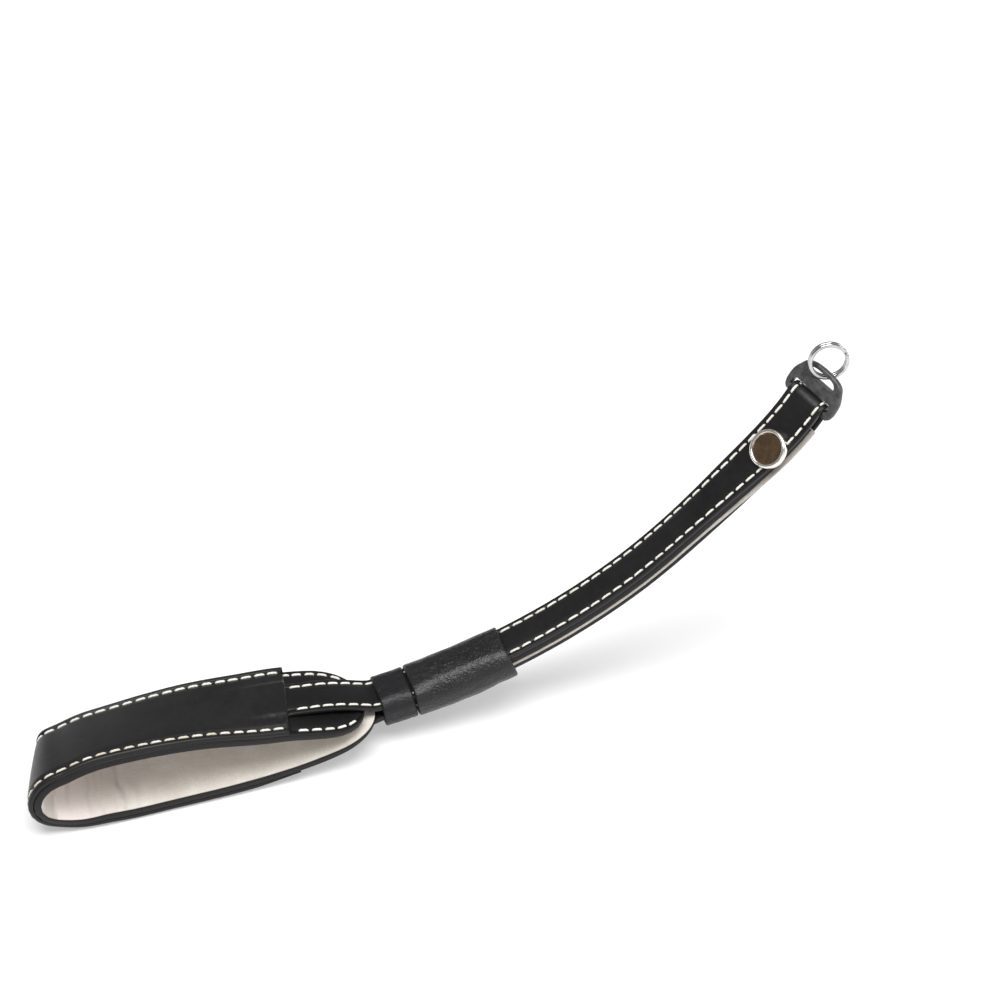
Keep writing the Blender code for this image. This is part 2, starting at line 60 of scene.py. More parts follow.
# ------------------------------------------------------------- dimensions, mm
GAP = 0.30
WIDE_W = 24.0
LINING_T, BASE_T, COVER_T = 0.8, 0.9, 1.1
R_COVER = (2.3, 3.4)
WIDE_ROW = 10.3
COVER_END = 20.4
NARROW_W, NARROW_T = 11.0, 1.1
HALF_GAP = 0.25
N_IN = HALF_GAP + 0.8 + GAP
N_OUT = N_IN + NARROW_T
NARROW_ROW = 4.0
ARC_START = (-46.7, 10.8)
ARC_SLOPE = math.radians(7.8)
ARC_R, ARC_LEN = 146.0, 63.0
EASE_LEN, EASE_SLOPE = 42.0, math.radians(44.5)
END_LEN, END_SLOPE = 26.2, math.radians(60.0)
S_BAR = ARC_LEN + EASE_LEN + END_LEN
TWIST_FROM, TWIST_TO = 82.0, 131.0
TWIST_END = 27.0
BAND_TWIST = 15.75
KEEPER_S, KEEPER_IN, KEEPER_WALL = (-5.8, 2.75), (11.7, 7.0), 1.05
SLIDER_S, SLIDER_IN, SLIDER_WALL = (3.1, 29.6), (12.1, 7.2), 1.25
TUBE_DROP = 0.7
NLIN_SHOW = 1.0
RIVET_S, RIVET_OFF, RIVET_R, BACK_R = 116.0, 1.9, 5.0, 4.2
LINK_MID, LINK_SLOT2, LINK_ARCH, LINK_TILT = (3.05, 6.2), 2.2, 1.2, 2.0
RING_R, RING_WIRE_W, RING_WIRE_H = 4.6, 1.0, 0.85
RING_LEAN, RING_OUT, RING_ASIDE = -48.0, 2.65, -1.2
PITCH = 3.4                # stitch length, hole to hole
DASH = 2.75                # the part of it that shows


def v3(x, y, z):
    return np.array([x, y, z], float)


Y_NEAR = v3(0, -1, 0)


def smooth(u):
    u = min(1.0, max(0.0, u))
    return u * u * (3 - 2 * u)


def spline(points, spacing=None):
    p = np.array(points, float)
    t = np.concatenate([[0.0], np.cumsum(np.linalg.norm(np.diff(p, axis=0), axis=1))])
    n = len(p)
    h = np.diff(t)
    a = np.zeros((n, n))
    r = np.zeros((n, 2))
    a[0, 0] = a[-1, -1] = 1.0
    for i in range(1, n - 1):
        a[i, i - 1] = h[i - 1]
        a[i, i] = 2 * (h[i - 1] + h[i])
        a[i, i + 1] = h[i]
        r[i] = 6 * ((p[i + 1] - p[i]) / h[i] - (p[i] - p[i - 1]) / h[i - 1])
    m = np.linalg.solve(a, r)

    def at(u):
        i = int(np.clip(np.searchsorted(t, u) - 1, 0, n - 2))
        d0, d1, hh = u - t[i], t[i + 1] - u, h[i]
        return (m[i] * d1 ** 3 / (6 * hh) + m[i + 1] * d0 ** 3 / (6 * hh)
                + (p[i] / hh - m[i] * hh / 6) * d1 + (p[i + 1] / hh - m[i + 1] * hh / 6) * d0)

    fine = np.array([at(u) for u in np.linspace(0, t[-1], 900)])
    s = np.concatenate([[0.0], np.cumsum(np.linalg.norm(np.diff(fine, axis=0), axis=1))])
    return s, fine


def along(s, fine, u):
    return np.array([np.interp(u, s, fine[:, 0]), np.interp(u, s, fine[:, 1])])


def mid_slope(s):
    if s <= 0:
        return ARC_SLOPE
    if s <= ARC_LEN:
        return ARC_SLOPE + s / ARC_R
    a = ARC_SLOPE + ARC_LEN / ARC_R
    if s <= ARC_LEN + EASE_LEN:
        u = (s - ARC_LEN) / EASE_LEN
        return a + (EASE_SLOPE - a) * (2 * u - u * u)
    u = min(1.0, (s - ARC_LEN - EASE_LEN) / END_LEN)
    return EASE_SLOPE + (END_SLOPE - EASE_SLOPE) * u * u


def mid_table():
    step = 0.25
    ss, pts = [0.0], [np.array(ARC_START)]
    while ss[-1] < S_BAR + 1:
        s = ss[-1]
        a = mid_slope(s + step / 2)
        pts.append(pts[-1] + step * np.array([math.cos(a), math.sin(a)]))
        ss.append(s + step)
    return np.array(ss), np.array(pts)


MID_S, MID_P = mid_table()


def twist_at(s):
    return math.radians(TWIST_END * smooth((s - TWIST_FROM) / (TWIST_TO - TWIST_FROM)))


def mid_frame(s):
    sl = mid_slope(s)
    if s < 0:
        p = np.array(ARC_START) + s * np.array([math.cos(sl), math.sin(sl)])
    else:
        p = np.array([np.interp(s, MID_S, MID_P[:, 0]), np.interp(s, MID_S, MID_P[:, 1])])
    t = v3(math.cos(sl), 0, math.sin(sl))
    n0 = v3(-math.sin(sl), 0, math.cos(sl))
    a = twist_at(s)
    return (v3(p[0], 0, p[1]), t, math.cos(a) * Y_NEAR - math.sin(a) * n0,
            math.cos(a) * n0 + math.sin(a) * Y_NEAR)


LOOP_POINTS = [
    (-56.6, 10.75), (-60.0, 11.1), (-66.0, 12.0), (-71.0, 12.9), (-77.0, 14.1),
    (-87.0, 15.2), (-96.0, 16.35), (-108.0, 16.9), (-120.0, 16.4),
    (-128.5, 15.25), (-133.1, 13.75), (-136.6, 12.2), (-137.3, 9.5), (-135.2, 7.7),
    (-130.4, 5.2), (-123.0, 3.6), (-110.0, 3.4), (-98.0, 3.5), (-89.0, 3.85),
    (-81.0, 4.55), (-76.0, 5.2), (-71.0, 6.15), (-66.0, 7.35), (-61.0, 8.6),
    (-57.0, 9.35), (-53.8, 9.62)]
LOOP_S, LOOP_F = spline(LOOP_POINTS)
LOOP_LEN = LOOP_S[-1]


def loop_twist(s):
    p = along(LOOP_S, LOOP_F, s)
    if s < LOOP_LEN * 0.5:
        return math.radians(BAND_TWIST * smooth((-68.6 - p[0]) / 61.0))
    return math.radians(BAND_TWIST * (1 - smooth((p[0] + 137.3) / 14.0)))


def loop_frame(s):
    a = along(LOOP_S, LOOP_F, max(0.0, s - 0.4))
    b = along(LOOP_S, LOOP_F, min(LOOP_LEN, s + 0.4))
    p = along(LOOP_S, LOOP_F, s)
    t2 = (b - a) / np.linalg.norm(b - a)
    r0 = v3(t2[1], 0, -t2[0])
    k = loop_twist(s)
    return (v3(p[0], 0, p[1]), v3(t2[0], 0, t2[1]), math.cos(k) * Y_NEAR + math.sin(k) * r0,
            math.cos(k) * r0 - math.sin(k) * Y_NEAR)


def end_round(d, half, blunt=2.6, reach=13.0):
    if d >= reach:
        return half
    q = min(1.0, (reach - d) / reach)
    return max(blunt, half * (1 - q ** 2.4) ** (1 / 2.4))


def skive(d):
    return 0.5 + 0.5 * smooth(d / 16.0)


def from_end(s):
    return min(s, LOOP_LEN - s)


def join_path(side):
    """Centre of the narrow strap's leather between a seam of the loop and
    the fixed keeper: side 1 is the upper one."""
    p, t, w, n = mid_frame(KEEPER_S[0] - 0.5)
    q = p + side * (N_IN + NARROW_T / 2) * n
    e = q + 3.0 * t
    if side > 0:
        pts = [(-75.5, 16.85), (-71.0, 16.3), (-65.0, 15.35), (-60.5, 14.1), (-57.0, 12.85),
               (-54.8, 12.1), (q[0], q[2]), (e[0], e[2])]
    else:
        pts = [(-74.9, 2.35), (-71.0, 3.2), (-66.0, 4.45), (-61.0, 5.75), (-57.0, 6.85),
               (-54.6, 7.5), (q[0], q[2]), (e[0], e[2])]
    s, f = spline(pts)
    return s, f, s[np.argmin(np.abs(f[:, 0] - q[0]))]


def strip_frames(step=0.8):
    """Frames of the folded strip's leather, from the upper seam, round the
    link's bar and back to the lower seam; the last vector points outwards."""
    out = []
    c = N_IN + NARROW_T / 2
    for side in (1, -1):
        s, f, stop = join_path(side)
        us = np.linspace(0, stop, int(stop / step) + 1)[:-1]
        part = []
        # a short tongue runs on under the edge of the loop's outer leather
        for e in (2.4, 1.6, 0.8):
            a, b = along(s, f, 0), along(s, f, 0.5)
            d = (b - a) / np.linalg.norm(b - a)
            p = a - e * d
            nn = v3(-d[1], 0, d[0])
            part.append((v3(p[0], 0, p[1]) - side * 0.16 * e * nn, v3(d[0], 0, d[1]), Y_NEAR, nn))
        for u in us:
            a, b = along(s, f, max(0, u - 0.3)), along(s, f, u + 0.3)
            d = (b - a) / np.linalg.norm(b - a)
            p = along(s, f, u)
            part.append((v3(p[0], 0, p[1]), v3(d[0], 0, d[1]), Y_NEAR, v3(-d[1], 0, d[0])))
        run = np.linspace(KEEPER_S[0] - 0.5, S_BAR, int((S_BAR - KEEPER_S[0]) / step))
        for u in run:
            p, t, w, n = mid_frame(u)
            part.append((p + side * c * n, t, w, n))
        if side > 0:
            out += part
            p, t, w, n = mid_frame(S_BAR)
            for k in range(1, 24):
                a = math.pi * k / 24
                r = math.cos(a) * n + math.sin(a) * t
                out.append((p + c * r, math.cos(a) * t - math.sin(a) * n, w, r))
        else:
            out += [(p, -t, w, -n) for p, t, w, n in part[::-1]]
    return out


def link_frame():
    p, t, w, n = mid_frame(S_BAR)
    a = math.radians(LINK_TILT)
    return p, math.cos(a) * t + math.sin(a) * n, w, math.cos(a) * n - math.sin(a) * t


def ring_frame():
    p, ax, w, up = link_frame()
    a = math.radians(RING_LEAN)
    side = math.cos(a) * w + math.sin(a) * up
    v = LINK_MID[1] + LINK_SLOT2 + LINK_ARCH / 2
    return p + (v + RING_OUT) * ax + RING_ASIDE * w, ax, side, np.cross(ax, side)


ORIGIN = ring_frame()[0]


# ------------------------------------------------------------------ materials
def new_material(name):
    m = bpy.data.materials.new(name)
    m.use_nodes = True
    return m, m.node_tree, m.node_tree.nodes["Principled BSDF"]


def link(nt, a, b):
    nt.links.new(a, b)


def coords(nt, scale=(1000.0, 1000.0, 1000.0), rot=(0, 0, 0)):
    """The piece's own coordinates, in millimetres."""
    tc = nt.nodes.new("ShaderNodeTexCoord")
    mp = nt.nodes.new("ShaderNodeMapping")
    mp.inputs["Scale"].default_value = scale
    mp.inputs["Rotation"].default_value = rot
    link(nt, tc.outputs["Object"], mp.inputs["Vector"])
    return mp.outputs["Vector"]


def noise_tex(nt, vec, scale, detail=3.0, rough=0.5, dist=0.0):
    n = nt.nodes.new("ShaderNodeTexNoise")
    n.inputs["Scale"].default_value = scale
    n.inputs["Detail"].default_value = detail
    n.inputs["Roughness"].default_value = rough
    n.inputs["Distortion"].default_value = dist
    link(nt, vec, n.inputs["Vector"])
    return n.outputs["Fac"]


def cells(nt, vec, scale, feature="SMOOTH_F1", smoothness=0.5):
    n = nt.nodes.new("ShaderNodeTexVoronoi")
    n.feature = feature
    n.inputs["Scale"].default_value = scale
    if feature == "SMOOTH_F1":
        n.inputs["Smoothness"].default_value = smoothness
    link(nt, vec, n.inputs["Vector"])
    return n.outputs["Distance"]


def ramp(nt, fac, stops):
    r = nt.nodes.new("ShaderNodeValToRGB")
    e = r.color_ramp.elements
    while len(e) > len(stops):
        e.remove(e[-1])
    while len(e) < len(stops):
        e.new(1.0)
    for el, (pos, col) in zip(e, stops):
        el.position = pos
        if not hasattr(col, "__len__"):
            col = (col, col, col)
        el.color = (*col, 1.0)
    link(nt, fac, r.inputs["Fac"])
    return r.outputs["Color"]


def maths(nt, op, a, b=0.5, clamp=False):
    n = nt.nodes.new("ShaderNodeMath")
    n.operation = op
    n.use_clamp = clamp
    for i, x in enumerate((a, b)):
        if isinstance(x, (int, float)):
            n.inputs[i].default_value = x
        else:
            link(nt, x, n.inputs[i])
    return n.outputs[0]


def mix(nt, fac, a, b, blend="MIX"):
    n = nt.nodes.new("ShaderNodeMix")
    n.data_type = "RGBA"
    n.blend_type = blend
    for i, x in ((0, fac), (6, a), (7, b)):
        if isinstance(x, (int, float)):
            n.inputs[i].default_value = x
        elif isinstance(x, tuple):
            n.inputs[i].default_value = (*x, 1.0)
        else:
            link(nt, x, n.inputs[i])
    return n.outputs[2]


def attr(nt, name):
    n = nt.nodes.new("ShaderNodeAttribute")
    n.attribute_name = name
    return n.outputs["Fac"]


def bump(nt, height, strength, distance, normal=None):
    n = nt.nodes.new("ShaderNodeBump")
    n.inputs["Strength"].default_value = strength
    n.inputs["Distance"].default_value = distance
    link(nt, height, n.inputs["Height"])
    if normal is not None:
        link(nt, normal, n.inputs["Normal"])
    return n.outputs["Normal"]


def leather(name, dark, light, rough, grain, grain_size, edge_col, edge_rough, coat=0.0, patches=0.5,
            spec=0.34):
    """Smooth dyed leather: mottled colour, fine grain, creases and a painted
    edge where the mesh's edge value says so."""
    m, nt, b = new_material(name)
    v = coords(nt)
    big = noise_tex(nt, v, 0.07, 4.0, 0.6, 0.4)
    mid = noise_tex(nt, v, 0.5, 4.0, 0.6)
    tone = ramp(nt, maths(nt, "ADD", maths(nt, "MULTIPLY", big, 0.65), maths(nt, "MULTIPLY", mid, 0.35)),
                [(0.36, dark), (0.64, light)])
    fine = noise_tex(nt, v, 5.0, 2.0, 0.6)
    tone = mix(nt, maths(nt, "MULTIPLY", fine, 0.35), tone, tuple(min(1.0, c * 1.6) for c in light))
    edge = attr(nt, "edge")
    # painted shade: the stitch channels are darkened where the mesh's groove value says so
    groove_shade = attr(nt, "groove_shade")
    tone = mix(nt, maths(nt, "MULTIPLY", groove_shade, 0.7), tone, tuple(c * 0.35 for c in dark))
    paint = mix(nt, noise_tex(nt, v, 1.4, 3.0, 0.6), edge_col, tuple(c * 1.7 for c in edge_col))
    link(nt, mix(nt, edge, tone, paint), b.inputs["Base Color"])
    rg = ramp(nt, maths(nt, "ADD", maths(nt, "MULTIPLY", big, patches), maths(nt, "MULTIPLY", mid, 1 - patches)),
              [(0.36, rough[0]), (0.66, rough[1])])
    link(nt, mix(nt, edge, rg, (edge_rough,) * 3), b.inputs["Roughness"])
    # grain: cells of uneven size, broken up by noise
    warp = nt.nodes.new("ShaderNodeVectorMath")
    warp.operation = "ADD"
    nz = nt.nodes.new("ShaderNodeTexNoise")
    nz.inputs["Scale"].default_value = 1.1
    link(nt, v, nz.inputs["Vector"])
    link(nt, v, warp.inputs[0])
    link(nt, nz.outputs["Color"], warp.inputs[1])
    g1 = cells(nt, warp.outputs[0], 1.0 / grain_size)
    g2 = noise_tex(nt, v, 2.2 / grain_size, 3.0, 0.6)
    h = maths(nt, "ADD", g1, maths(nt, "MULTIPLY", g2, 0.7))
    h = maths(nt, "MULTIPLY", h, maths(nt, "SUBTRACT", 1.0, maths(nt, "MULTIPLY", edge, 0.75)))
    n1 = bump(nt, h, 0.9, grain)
    # soft handling creases at a larger scale
    cr = noise_tex(nt, coords(nt, (420.0, 900.0, 700.0)), 0.9, 3.0, 0.55, 1.2)
    n2 = bump(nt, cr, 0.5, grain * 2.2, n1)
    link(nt, n2, b.inputs["Normal"])
    b.inputs["IOR"].default_value = 1.45
    b.inputs["Specular IOR Level"].default_value = spec
    b.inputs["Coat Weight"].default_value = coat
    b.inputs["Coat Roughness"].default_value = 0.28
    b.inputs["Sheen Weight"].default_value = 0.0
    return m


M_COVER = leather("looks_cover_leather", (0.0052, 0.0050, 0.0052), (0.0115, 0.0110, 0.0114), (0.34, 0.47),
                  0.000022, 0.42, (0.0066, 0.0056, 0.0054), 0.46, 0.06)
M_BASE = leather("looks_backing_leather", (0.0032, 0.0030, 0.0033), (0.0065, 0.0060, 0.0066), (0.46, 0.60),
                 0.000022, 0.42, (0.0066, 0.0056, 0.0054), 0.48)
M_STRAP = leather("looks_strap_leather", (0.0038, 0.0036, 0.0040), (0.0080, 0.0075, 0.0082), (0.36, 0.5),
                  0.000024, 0.42, (0.0095, 0.0085, 0.0083), 0.44, 0.04)
M_SLEEVE = leather("looks_sleeve_leather", (0.0036, 0.0036, 0.0041), (0.0080, 0.0080, 0.0088), (0.23, 0.37),
                   0.00014, 0.62, (0.005, 0.0046, 0.0046), 0.5, 0.10, 0.35, 0.50)
M_KEEPER = leather("looks_keeper_leather", (0.0048, 0.0048, 0.0058), (0.0095, 0.0095, 0.0112), (0.30, 0.42),
                   0.00010, 0.55, (0.005, 0.0046, 0.0046), 0.5, 0.08, 0.35)


def suede(name, dark, light, tint):
    m, nt, b = new_material(name)
    v = coords(nt)
    nap = noise_tex(nt, coords(nt, (500.0, 1400.0, 900.0)), 2.4, 4.0, 0.7, 0.6)
    cloud = noise_tex(nt, v, 0.09, 4.0, 0.6, 0.5)
    speck = noise_tex(nt, v, 3.6, 3.0, 0.7)
    f = maths(nt, "ADD", maths(nt, "MULTIPLY", nap, 0.4),
              maths(nt, "ADD", maths(nt, "MULTIPLY", cloud, 0.35), maths(nt, "MULTIPLY", speck, 0.25)))
    col = ramp(nt, f, [(0.34, dark), (0.52, tuple((x + y) / 2 for x, y in zip(dark, light))), (0.66, light)])
    col = mix(nt, maths(nt, "MULTIPLY", attr(nt, "blush"), 0.55), col, tint)
    # the edge value darkens the lining's dyed edge, and in its creases near the tip it is painted shade
    edge = attr(nt, "edge")
    col = mix(nt, edge, col, tuple(c * 0.55 for c in dark))
    link(nt, col, b.inputs["Base Color"])
    b.inputs["Roughness"].default_value = 0.95
    b.inputs["Sheen Weight"].default_value = 0.25
    b.inputs["Sheen Roughness"].default_value = 0.5
    b.inputs["Sheen Tint"].default_value = (1.0, 0.97, 0.94, 1.0)
    b.inputs["Specular IOR Level"].default_value = 0.2
    fib = noise_tex(nt, coords(nt, (700.0, 1500.0, 1100.0)), 4.5, 4.0, 0.75, 0.8)
    n1 = bump(nt, fib, 0.9, 0.00012)
    n2 = bump(nt, cloud, 0.6, 0.0004, n1)
    link(nt, n2, b.inputs["Normal"])
    return m


M_LINING = suede("looks_suede_lining", (0.56, 0.515, 0.465), (0.84, 0.805, 0.755), (0.78, 0.70, 0.675))
M_NLINING = suede("looks_strap_lining", (0.36, 0.33, 0.30), (0.62, 0.59, 0.54), (0.6, 0.56, 0.52))


def thread_material():
    m, nt, b = new_material("looks_thread")
    v = coords(nt)
    tone = attr(nt, "tone")
    col = ramp(nt, tone, [(0.0, (0.60, 0.55, 0.41)), (0.35, (0.76, 0.73, 0.64)), (1.0, (0.90, 0.885, 0.83))])
    fuzz = noise_tex(nt, v, 7.0, 3.0, 0.7)
    col = mix(nt, maths(nt, "MULTIPLY", fuzz, 0.30), col, (0.50, 0.47, 0.40))
    # painted shade: the thread is darkened at its ends, where it sinks into the leather
    link(nt, mix(nt, attr(nt, "groove_shade"), col, (0.16, 0.14, 0.11)), b.inputs["Base Color"])
    b.inputs["Roughness"].default_value = 0.62
    b.inputs["Sheen Weight"].default_value = 0.2
    n1 = bump(nt, noise_tex(nt, v, 12.0, 2.0, 0.6), 0.5, 0.00005)
    link(nt, n1, b.inputs["Normal"])
    return m


M_THREAD = thread_material()


def metal(name, col, darker_mottle, rough, anis=0.0, scratch=0.000004):
    m, nt, b = new_material(name)
    v = coords(nt)
    f = noise_tex(nt, v, 0.6, 4.0, 0.6)
    link(nt, ramp(nt, f, [(0.35, darker_mottle), (0.6, col)]), b.inputs["Base Color"])
    b.inputs["Metallic"].default_value = 1.0
    fine = noise_tex(nt, coords(nt, (900.0, 2600.0, 1500.0)), 3.0, 3.0, 0.6)
    link(nt, ramp(nt, fine, [(0.3, rough[0]), (0.75, rough[1])]), b.inputs["Roughness"])
    link(nt, bump(nt, fine, 0.6, scratch), b.inputs["Normal"])
    return m


# painted reflection: the polished steel is kept darker than bright steel and mottled darker still, for the dark
# surroundings it would reflect
M_STEEL = metal("looks_polished_steel", (0.60, 0.60, 0.60), (0.42, 0.42, 0.42), (0.08, 0.20))
# painted reflection: the rivet cap is polished metal, its rim given a bright cream colour and its flat face a brown
# one for what each reflects
M_RIM = metal("looks_rivet_rim", (0.93, 0.88, 0.83), (0.82, 0.77, 0.72), (0.10, 0.22))
M_FACE = metal("looks_rivet_face", (0.24, 0.160, 0.095), (0.17, 0.115, 0.068), (0.24, 0.38), 0.0, 0.000008)


def plastic():
    m, nt, b = new_material("looks_link_plastic")
    v = coords(nt)
    f = noise_tex(nt, v, 0.55, 4.0, 0.65, 0.6)
    link(nt, ramp(nt, f, [(0.35, (0.028, 0.028, 0.029)), (0.62, (0.070, 0.070, 0.072))]), b.inputs["Base Color"])
    g = noise_tex(nt, v, 3.0, 4.0, 0.65)
    link(nt, ramp(nt, g, [(0.3, 0.30), (0.7, 0.48)]), b.inputs["Roughness"])
    n1 = bump(nt, g, 0.8, 0.00004)
    link(nt, bump(nt, f, 0.5, 0.00012, n1), b.inputs["Normal"])
    return m


M_LINK = plastic()


# --------------------------------------------------------------- mesh building
def to_m(p):
    return (np.asarray(p, float) - ORIGIN) * 0.001


def make(name, verts, faces, mats, body, nodes=(), attrs=None, sharp=None, mat_index=None):
    co = to_m(verts)
    me = bpy.data.meshes.new(name)
    me.from_pydata([tuple(c) for c in co], [], [tuple(int(i) for i in f) for f in faces])
    me.update()
    for mt in (mats if isinstance(mats, (list, tuple)) else [mats]):
        me.materials.append(mt)
    for key, values in (attrs or {}).items():
        a = me.attributes.new(key, "FLOAT", "POINT")
        a.data.foreach_set("value", np.asarray(values, np.float32))
    if mat_index is not None:
        me.polygons.foreach_set("material_index", np.asarray(mat_index, np.int32))
    bm = bmesh.new()
    bm.from_mesh(me)
    bmesh.ops.recalc_face_normals(bm, faces=bm.faces)
    bm.to_mesh(me)
    bm.free()
    me.shade_smooth()
    if sharp:
        me.set_sharp_from_angle(angle=math.radians(sharp))
    ob = bpy.data.objects.new(name, me)
    bpy.context.scene.collection.objects.link(ob)
    if nodes:
        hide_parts(*nodes)
    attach(ob, body)
    return ob


def wobble(points, size, seed):
    """Smooth noise from -1 to 1 at each point, at a scale in millimetres."""
    off = Vector((seed * 17.3, seed * -9.1, seed * 4.7))
    flat = np.asarray(points).reshape(-1, 3)
    out = np.array([noise.noise(Vector(p) / size + off) for p in flat])
    return out.reshape(np.asarray(points).shape[:-1])


def grid_faces(m, n, closed_n=True, closed_m=False, start=0):
    faces = []
    for i in range(m if closed_m else m - 1):
        j = (i + 1) % m
        for k in range(n if closed_n else n - 1):
            l = (k + 1) % n
            faces.append((start + i * n + k, start + i * n + l, start + j * n + l, start + j * n + k))
    return faces


def strip_mesh(frames, section, shift=None):
    """Rings of points for a strip: section(i) gives (across, out) pairs."""
    rings = []
    for i, (p, t, w, r) in enumerate(frames):
        ab = section[i]
        ring = p[None, :] + ab[:, 0:1] * w[None, :] + ab[:, 1:2] * r[None, :]
        if shift is not None:
            ring = ring + shift[i][:, None] * t[None, :]
        rings.append(ring)
    return np.array(rings)


def closed_strip(rings):
    m, n = rings.shape[:2]
    faces = grid_faces(m, n)
    verts = rings.reshape(-1, 3)
    c0, c1 = rings[0].mean(axis=0), rings[-1].mean(axis=0)
    k = len(verts)
    verts = np.vstack([verts, c0, c1])
    for a in range(n):
        b = (a + 1) % n
        faces.append((k, b, a))
        faces.append((k + 1, (m - 1) * n + a, (m - 1) * n + b))
    return verts, faces


# ----------------------------------------------------------- sections of strips
def half_top(half, corner, row, plateau):
    """Widths from the middle to the start of the edge's rounding."""
    w = [0.0, 2.0, 4.0, 4.8, 5.4, 5.8, 6.2, 6.8, 7.6, 8.2] if half > 8 else [0.0, 0.8, 1.6, 2.3, 2.8]
    near = [row - 1.45, row - 1.2, row - 0.95, row - 0.75, row - 0.58, row - 0.44, row - 0.32, row - 0.2,
            row - 0.1, row, row + 0.1, row + 0.2, row + 0.32, row + 0.44, row + 0.58, row + 0.75]
    return [x for x in w if x < row - 1.6] + near + [half - corner - 0.12]


def outline(half, corner, low, row):
    """Points round the top of a strip's section, from the near side up, over the top and down the far side: (width,
    drop, kind) where kind is 'corner' or 'top'.  The drop is 0 along the top and falls to minus the corner radius
    round each rounded corner."""
    tops = half_top(half, corner, row, 0)
    pts = []
    for a in np.linspace(0, 90, 6):           # near edge, upper corner, from the side up
        pts.append((half - corner + corner * math.cos(math.radians(a)),
                    -corner + corner * math.sin(math.radians(a)), "corner"))
    pts += [(w, 0.0, "top") for w in tops[::-1]]
    pts += [(-w, 0.0, "top") for w in tops[1:]]
    for a in np.linspace(90, 180, 6):
        pts.append((-half + corner + corner * math.cos(math.radians(a)),
                    -corner + corner * math.sin(math.radians(a)), "corner"))
    return pts


def top_height(w, row, rise, crown, half, depth, ridge=0.06):
    a = abs(w)
    z = rise * smooth((row - 0.42 - a) / 1.15)
    if a < row - 1.6:
        z += crown * (1 - (a / (row - 1.6)) ** 2)
    z += ridge * math.exp(-((a - row - 0.62) / 0.3) ** 2)
    return z, depth * math.exp(-((a - row) / 0.34) ** 2)


# ------------------------------------------------------------ hand loop: cover
C0, C1 = COVER_END, LOOP_LEN - COVER_END - 2.6
ROW_PHASE = C0 + 0.9
COVER_SKEW = 0.17


def spaced(a, b, step):
    return list(np.linspace(a, b, max(2, int(round((b - a) / step)) + 1)))


def cover_lift(s, w):
    """The leather rises over the tongue of the narrow strap at each seam."""
    out = 0.0
    for c, sign in ((C0, 1), (C1, -1)):
        d = (s - c) * sign
        if 0 <= d < 17:
            f = 1 - smooth(d / 17.0)
            out += 0.62 * f * smooth((6.9 - abs(w)) / 1.7)
    return out


def pared(s):
    """The outer leather is pared down towards its lower seam."""
    return 1.0 - 0.72 * (1 - smooth((C1 - s) / 13.0))


def build_cover():
    stations = [C0, C0 + 0.10, C0 + 0.25, C0 + 0.5] + spaced(C0 + 0.9, C1 - 0.9, 0.567) + \
               [C1 - 0.5, C1 - 0.25, C1 - 0.10, C1]
    drop = [0.36, 0.14, 0.04, 0.0] + [0.0] * (len(stations) - 8) + [0.0, 0.04, 0.14, 0.36]
    frames = [loop_frame(s) for s in stations]
    half = WIDE_W / 2
    out = outline(half, 0.7, 0, WIDE_ROW)
    sections, shifts, edge, groove_shade = [], [], [], []
    base = [(-half + 0.18, "b"), (-6.0, "b"), (0.0, "b"), (6.0, "b"), (half - 0.18, "b")]
    for s, dr in zip(stations, drop):
        sec, sh, ed, gr = [], [], [], []
        pucker = 0.5 - 0.5 * math.cos(2 * math.pi * (s - ROW_PHASE) / PITCH)
        fade = (1 - smooth((s - C0) / 16.0))
        for w, dz, kind in out:
            z, g = top_height(w, WIDE_ROW, 0.34, 0.16, half, 0.30 - 0.10 * pucker)
            if kind == "corner":
                z, g = 0.06 * math.exp(-((abs(w) - WIDE_ROW - 0.62) / 0.3) ** 2), 0.0
                h = R_COVER[1] - 0.05 + dz * (0.7 if w < 0 else 1.0) + z + (0.36 if w < 0 else 0.0)
                w = w - 0.15 if w < 0 else w
            else:
                h = R_COVER[1] - 0.05 + z - g + cover_lift(s, w) + 0.36 * smooth((-w - WIDE_ROW - 0.1) / 0.6)
            sec.append((w, 2.02 + (h - dr - 2.02) * pared(s)))
            sh.append(COVER_SKEW * w * fade)
            ed.append(1.0 if kind == "corner" and dz < -0.25 else (0.5 if kind == "corner" else 0.0))
            # the groove value paints shade into the stitch channel, by its depth
            gr.append(min(1.0, g / 0.3))
        for w, _ in base:
            sec.append((w, 2.02 + (0.35 * cover_lift(s, w) if abs(w) < 7 else 0)))
            sh.append(COVER_SKEW * w * fade)
            ed.append(1.0)
            gr.append(0.0)
        sections.append(np.array(sec))
        shifts.append(np.array(sh))
        edge.append(ed)
        groove_shade.append(gr)
    rings = strip_mesh(frames, sections, shifts)
    normals = np.array([f[3] for f in frames])[:, None, :]
    n = len(out)
    top = rings[:, :n]
    amp = 0.055 * wobble(top, 11.0, 1) + 0.018 * wobble(top, 3.2, 2)
    # crumpled where the leather comes down beside the tongue
    for i, s in enumerate(stations):
        for j, (w, dz, kind) in enumerate(out):
            if kind == "top" and s < C0 + 9.5:
                k = (1 - smooth((s - C0) / 9.5)) * math.exp(-((w - 7.6) / 1.5) ** 2)
                if k > 0.02:
                    p = rings[i, j]
                    amp[i, j] += 0.42 * k * (noise.noise(Vector((p[0] * 0.95, p[1] * 0.55, 3.1)))
                                             + 0.5 * noise.noise(Vector((p[0] * 2.3, p[1] * 1.4, 7.7))))
    rings[:, :n] += amp[..., None] * normals
    verts, faces = closed_strip(rings)
    e = list(np.array(edge).ravel()) + [1.0, 1.0]
    g = list(np.array(groove_shade).ravel()) + [0.0, 0.0]
    return make("loop_cover_skin", verts, faces, M_COVER, "strap", ["loop_cover"],
                {"edge": e, "groove_shade": g}, 55)


# ---------------------------------------------------------- hand loop: backing
def layer_levels(s):
    d = from_end(s)
    k = skive(d)
    return LINING_T * k, LINING_T * k + GAP + BASE_T * k


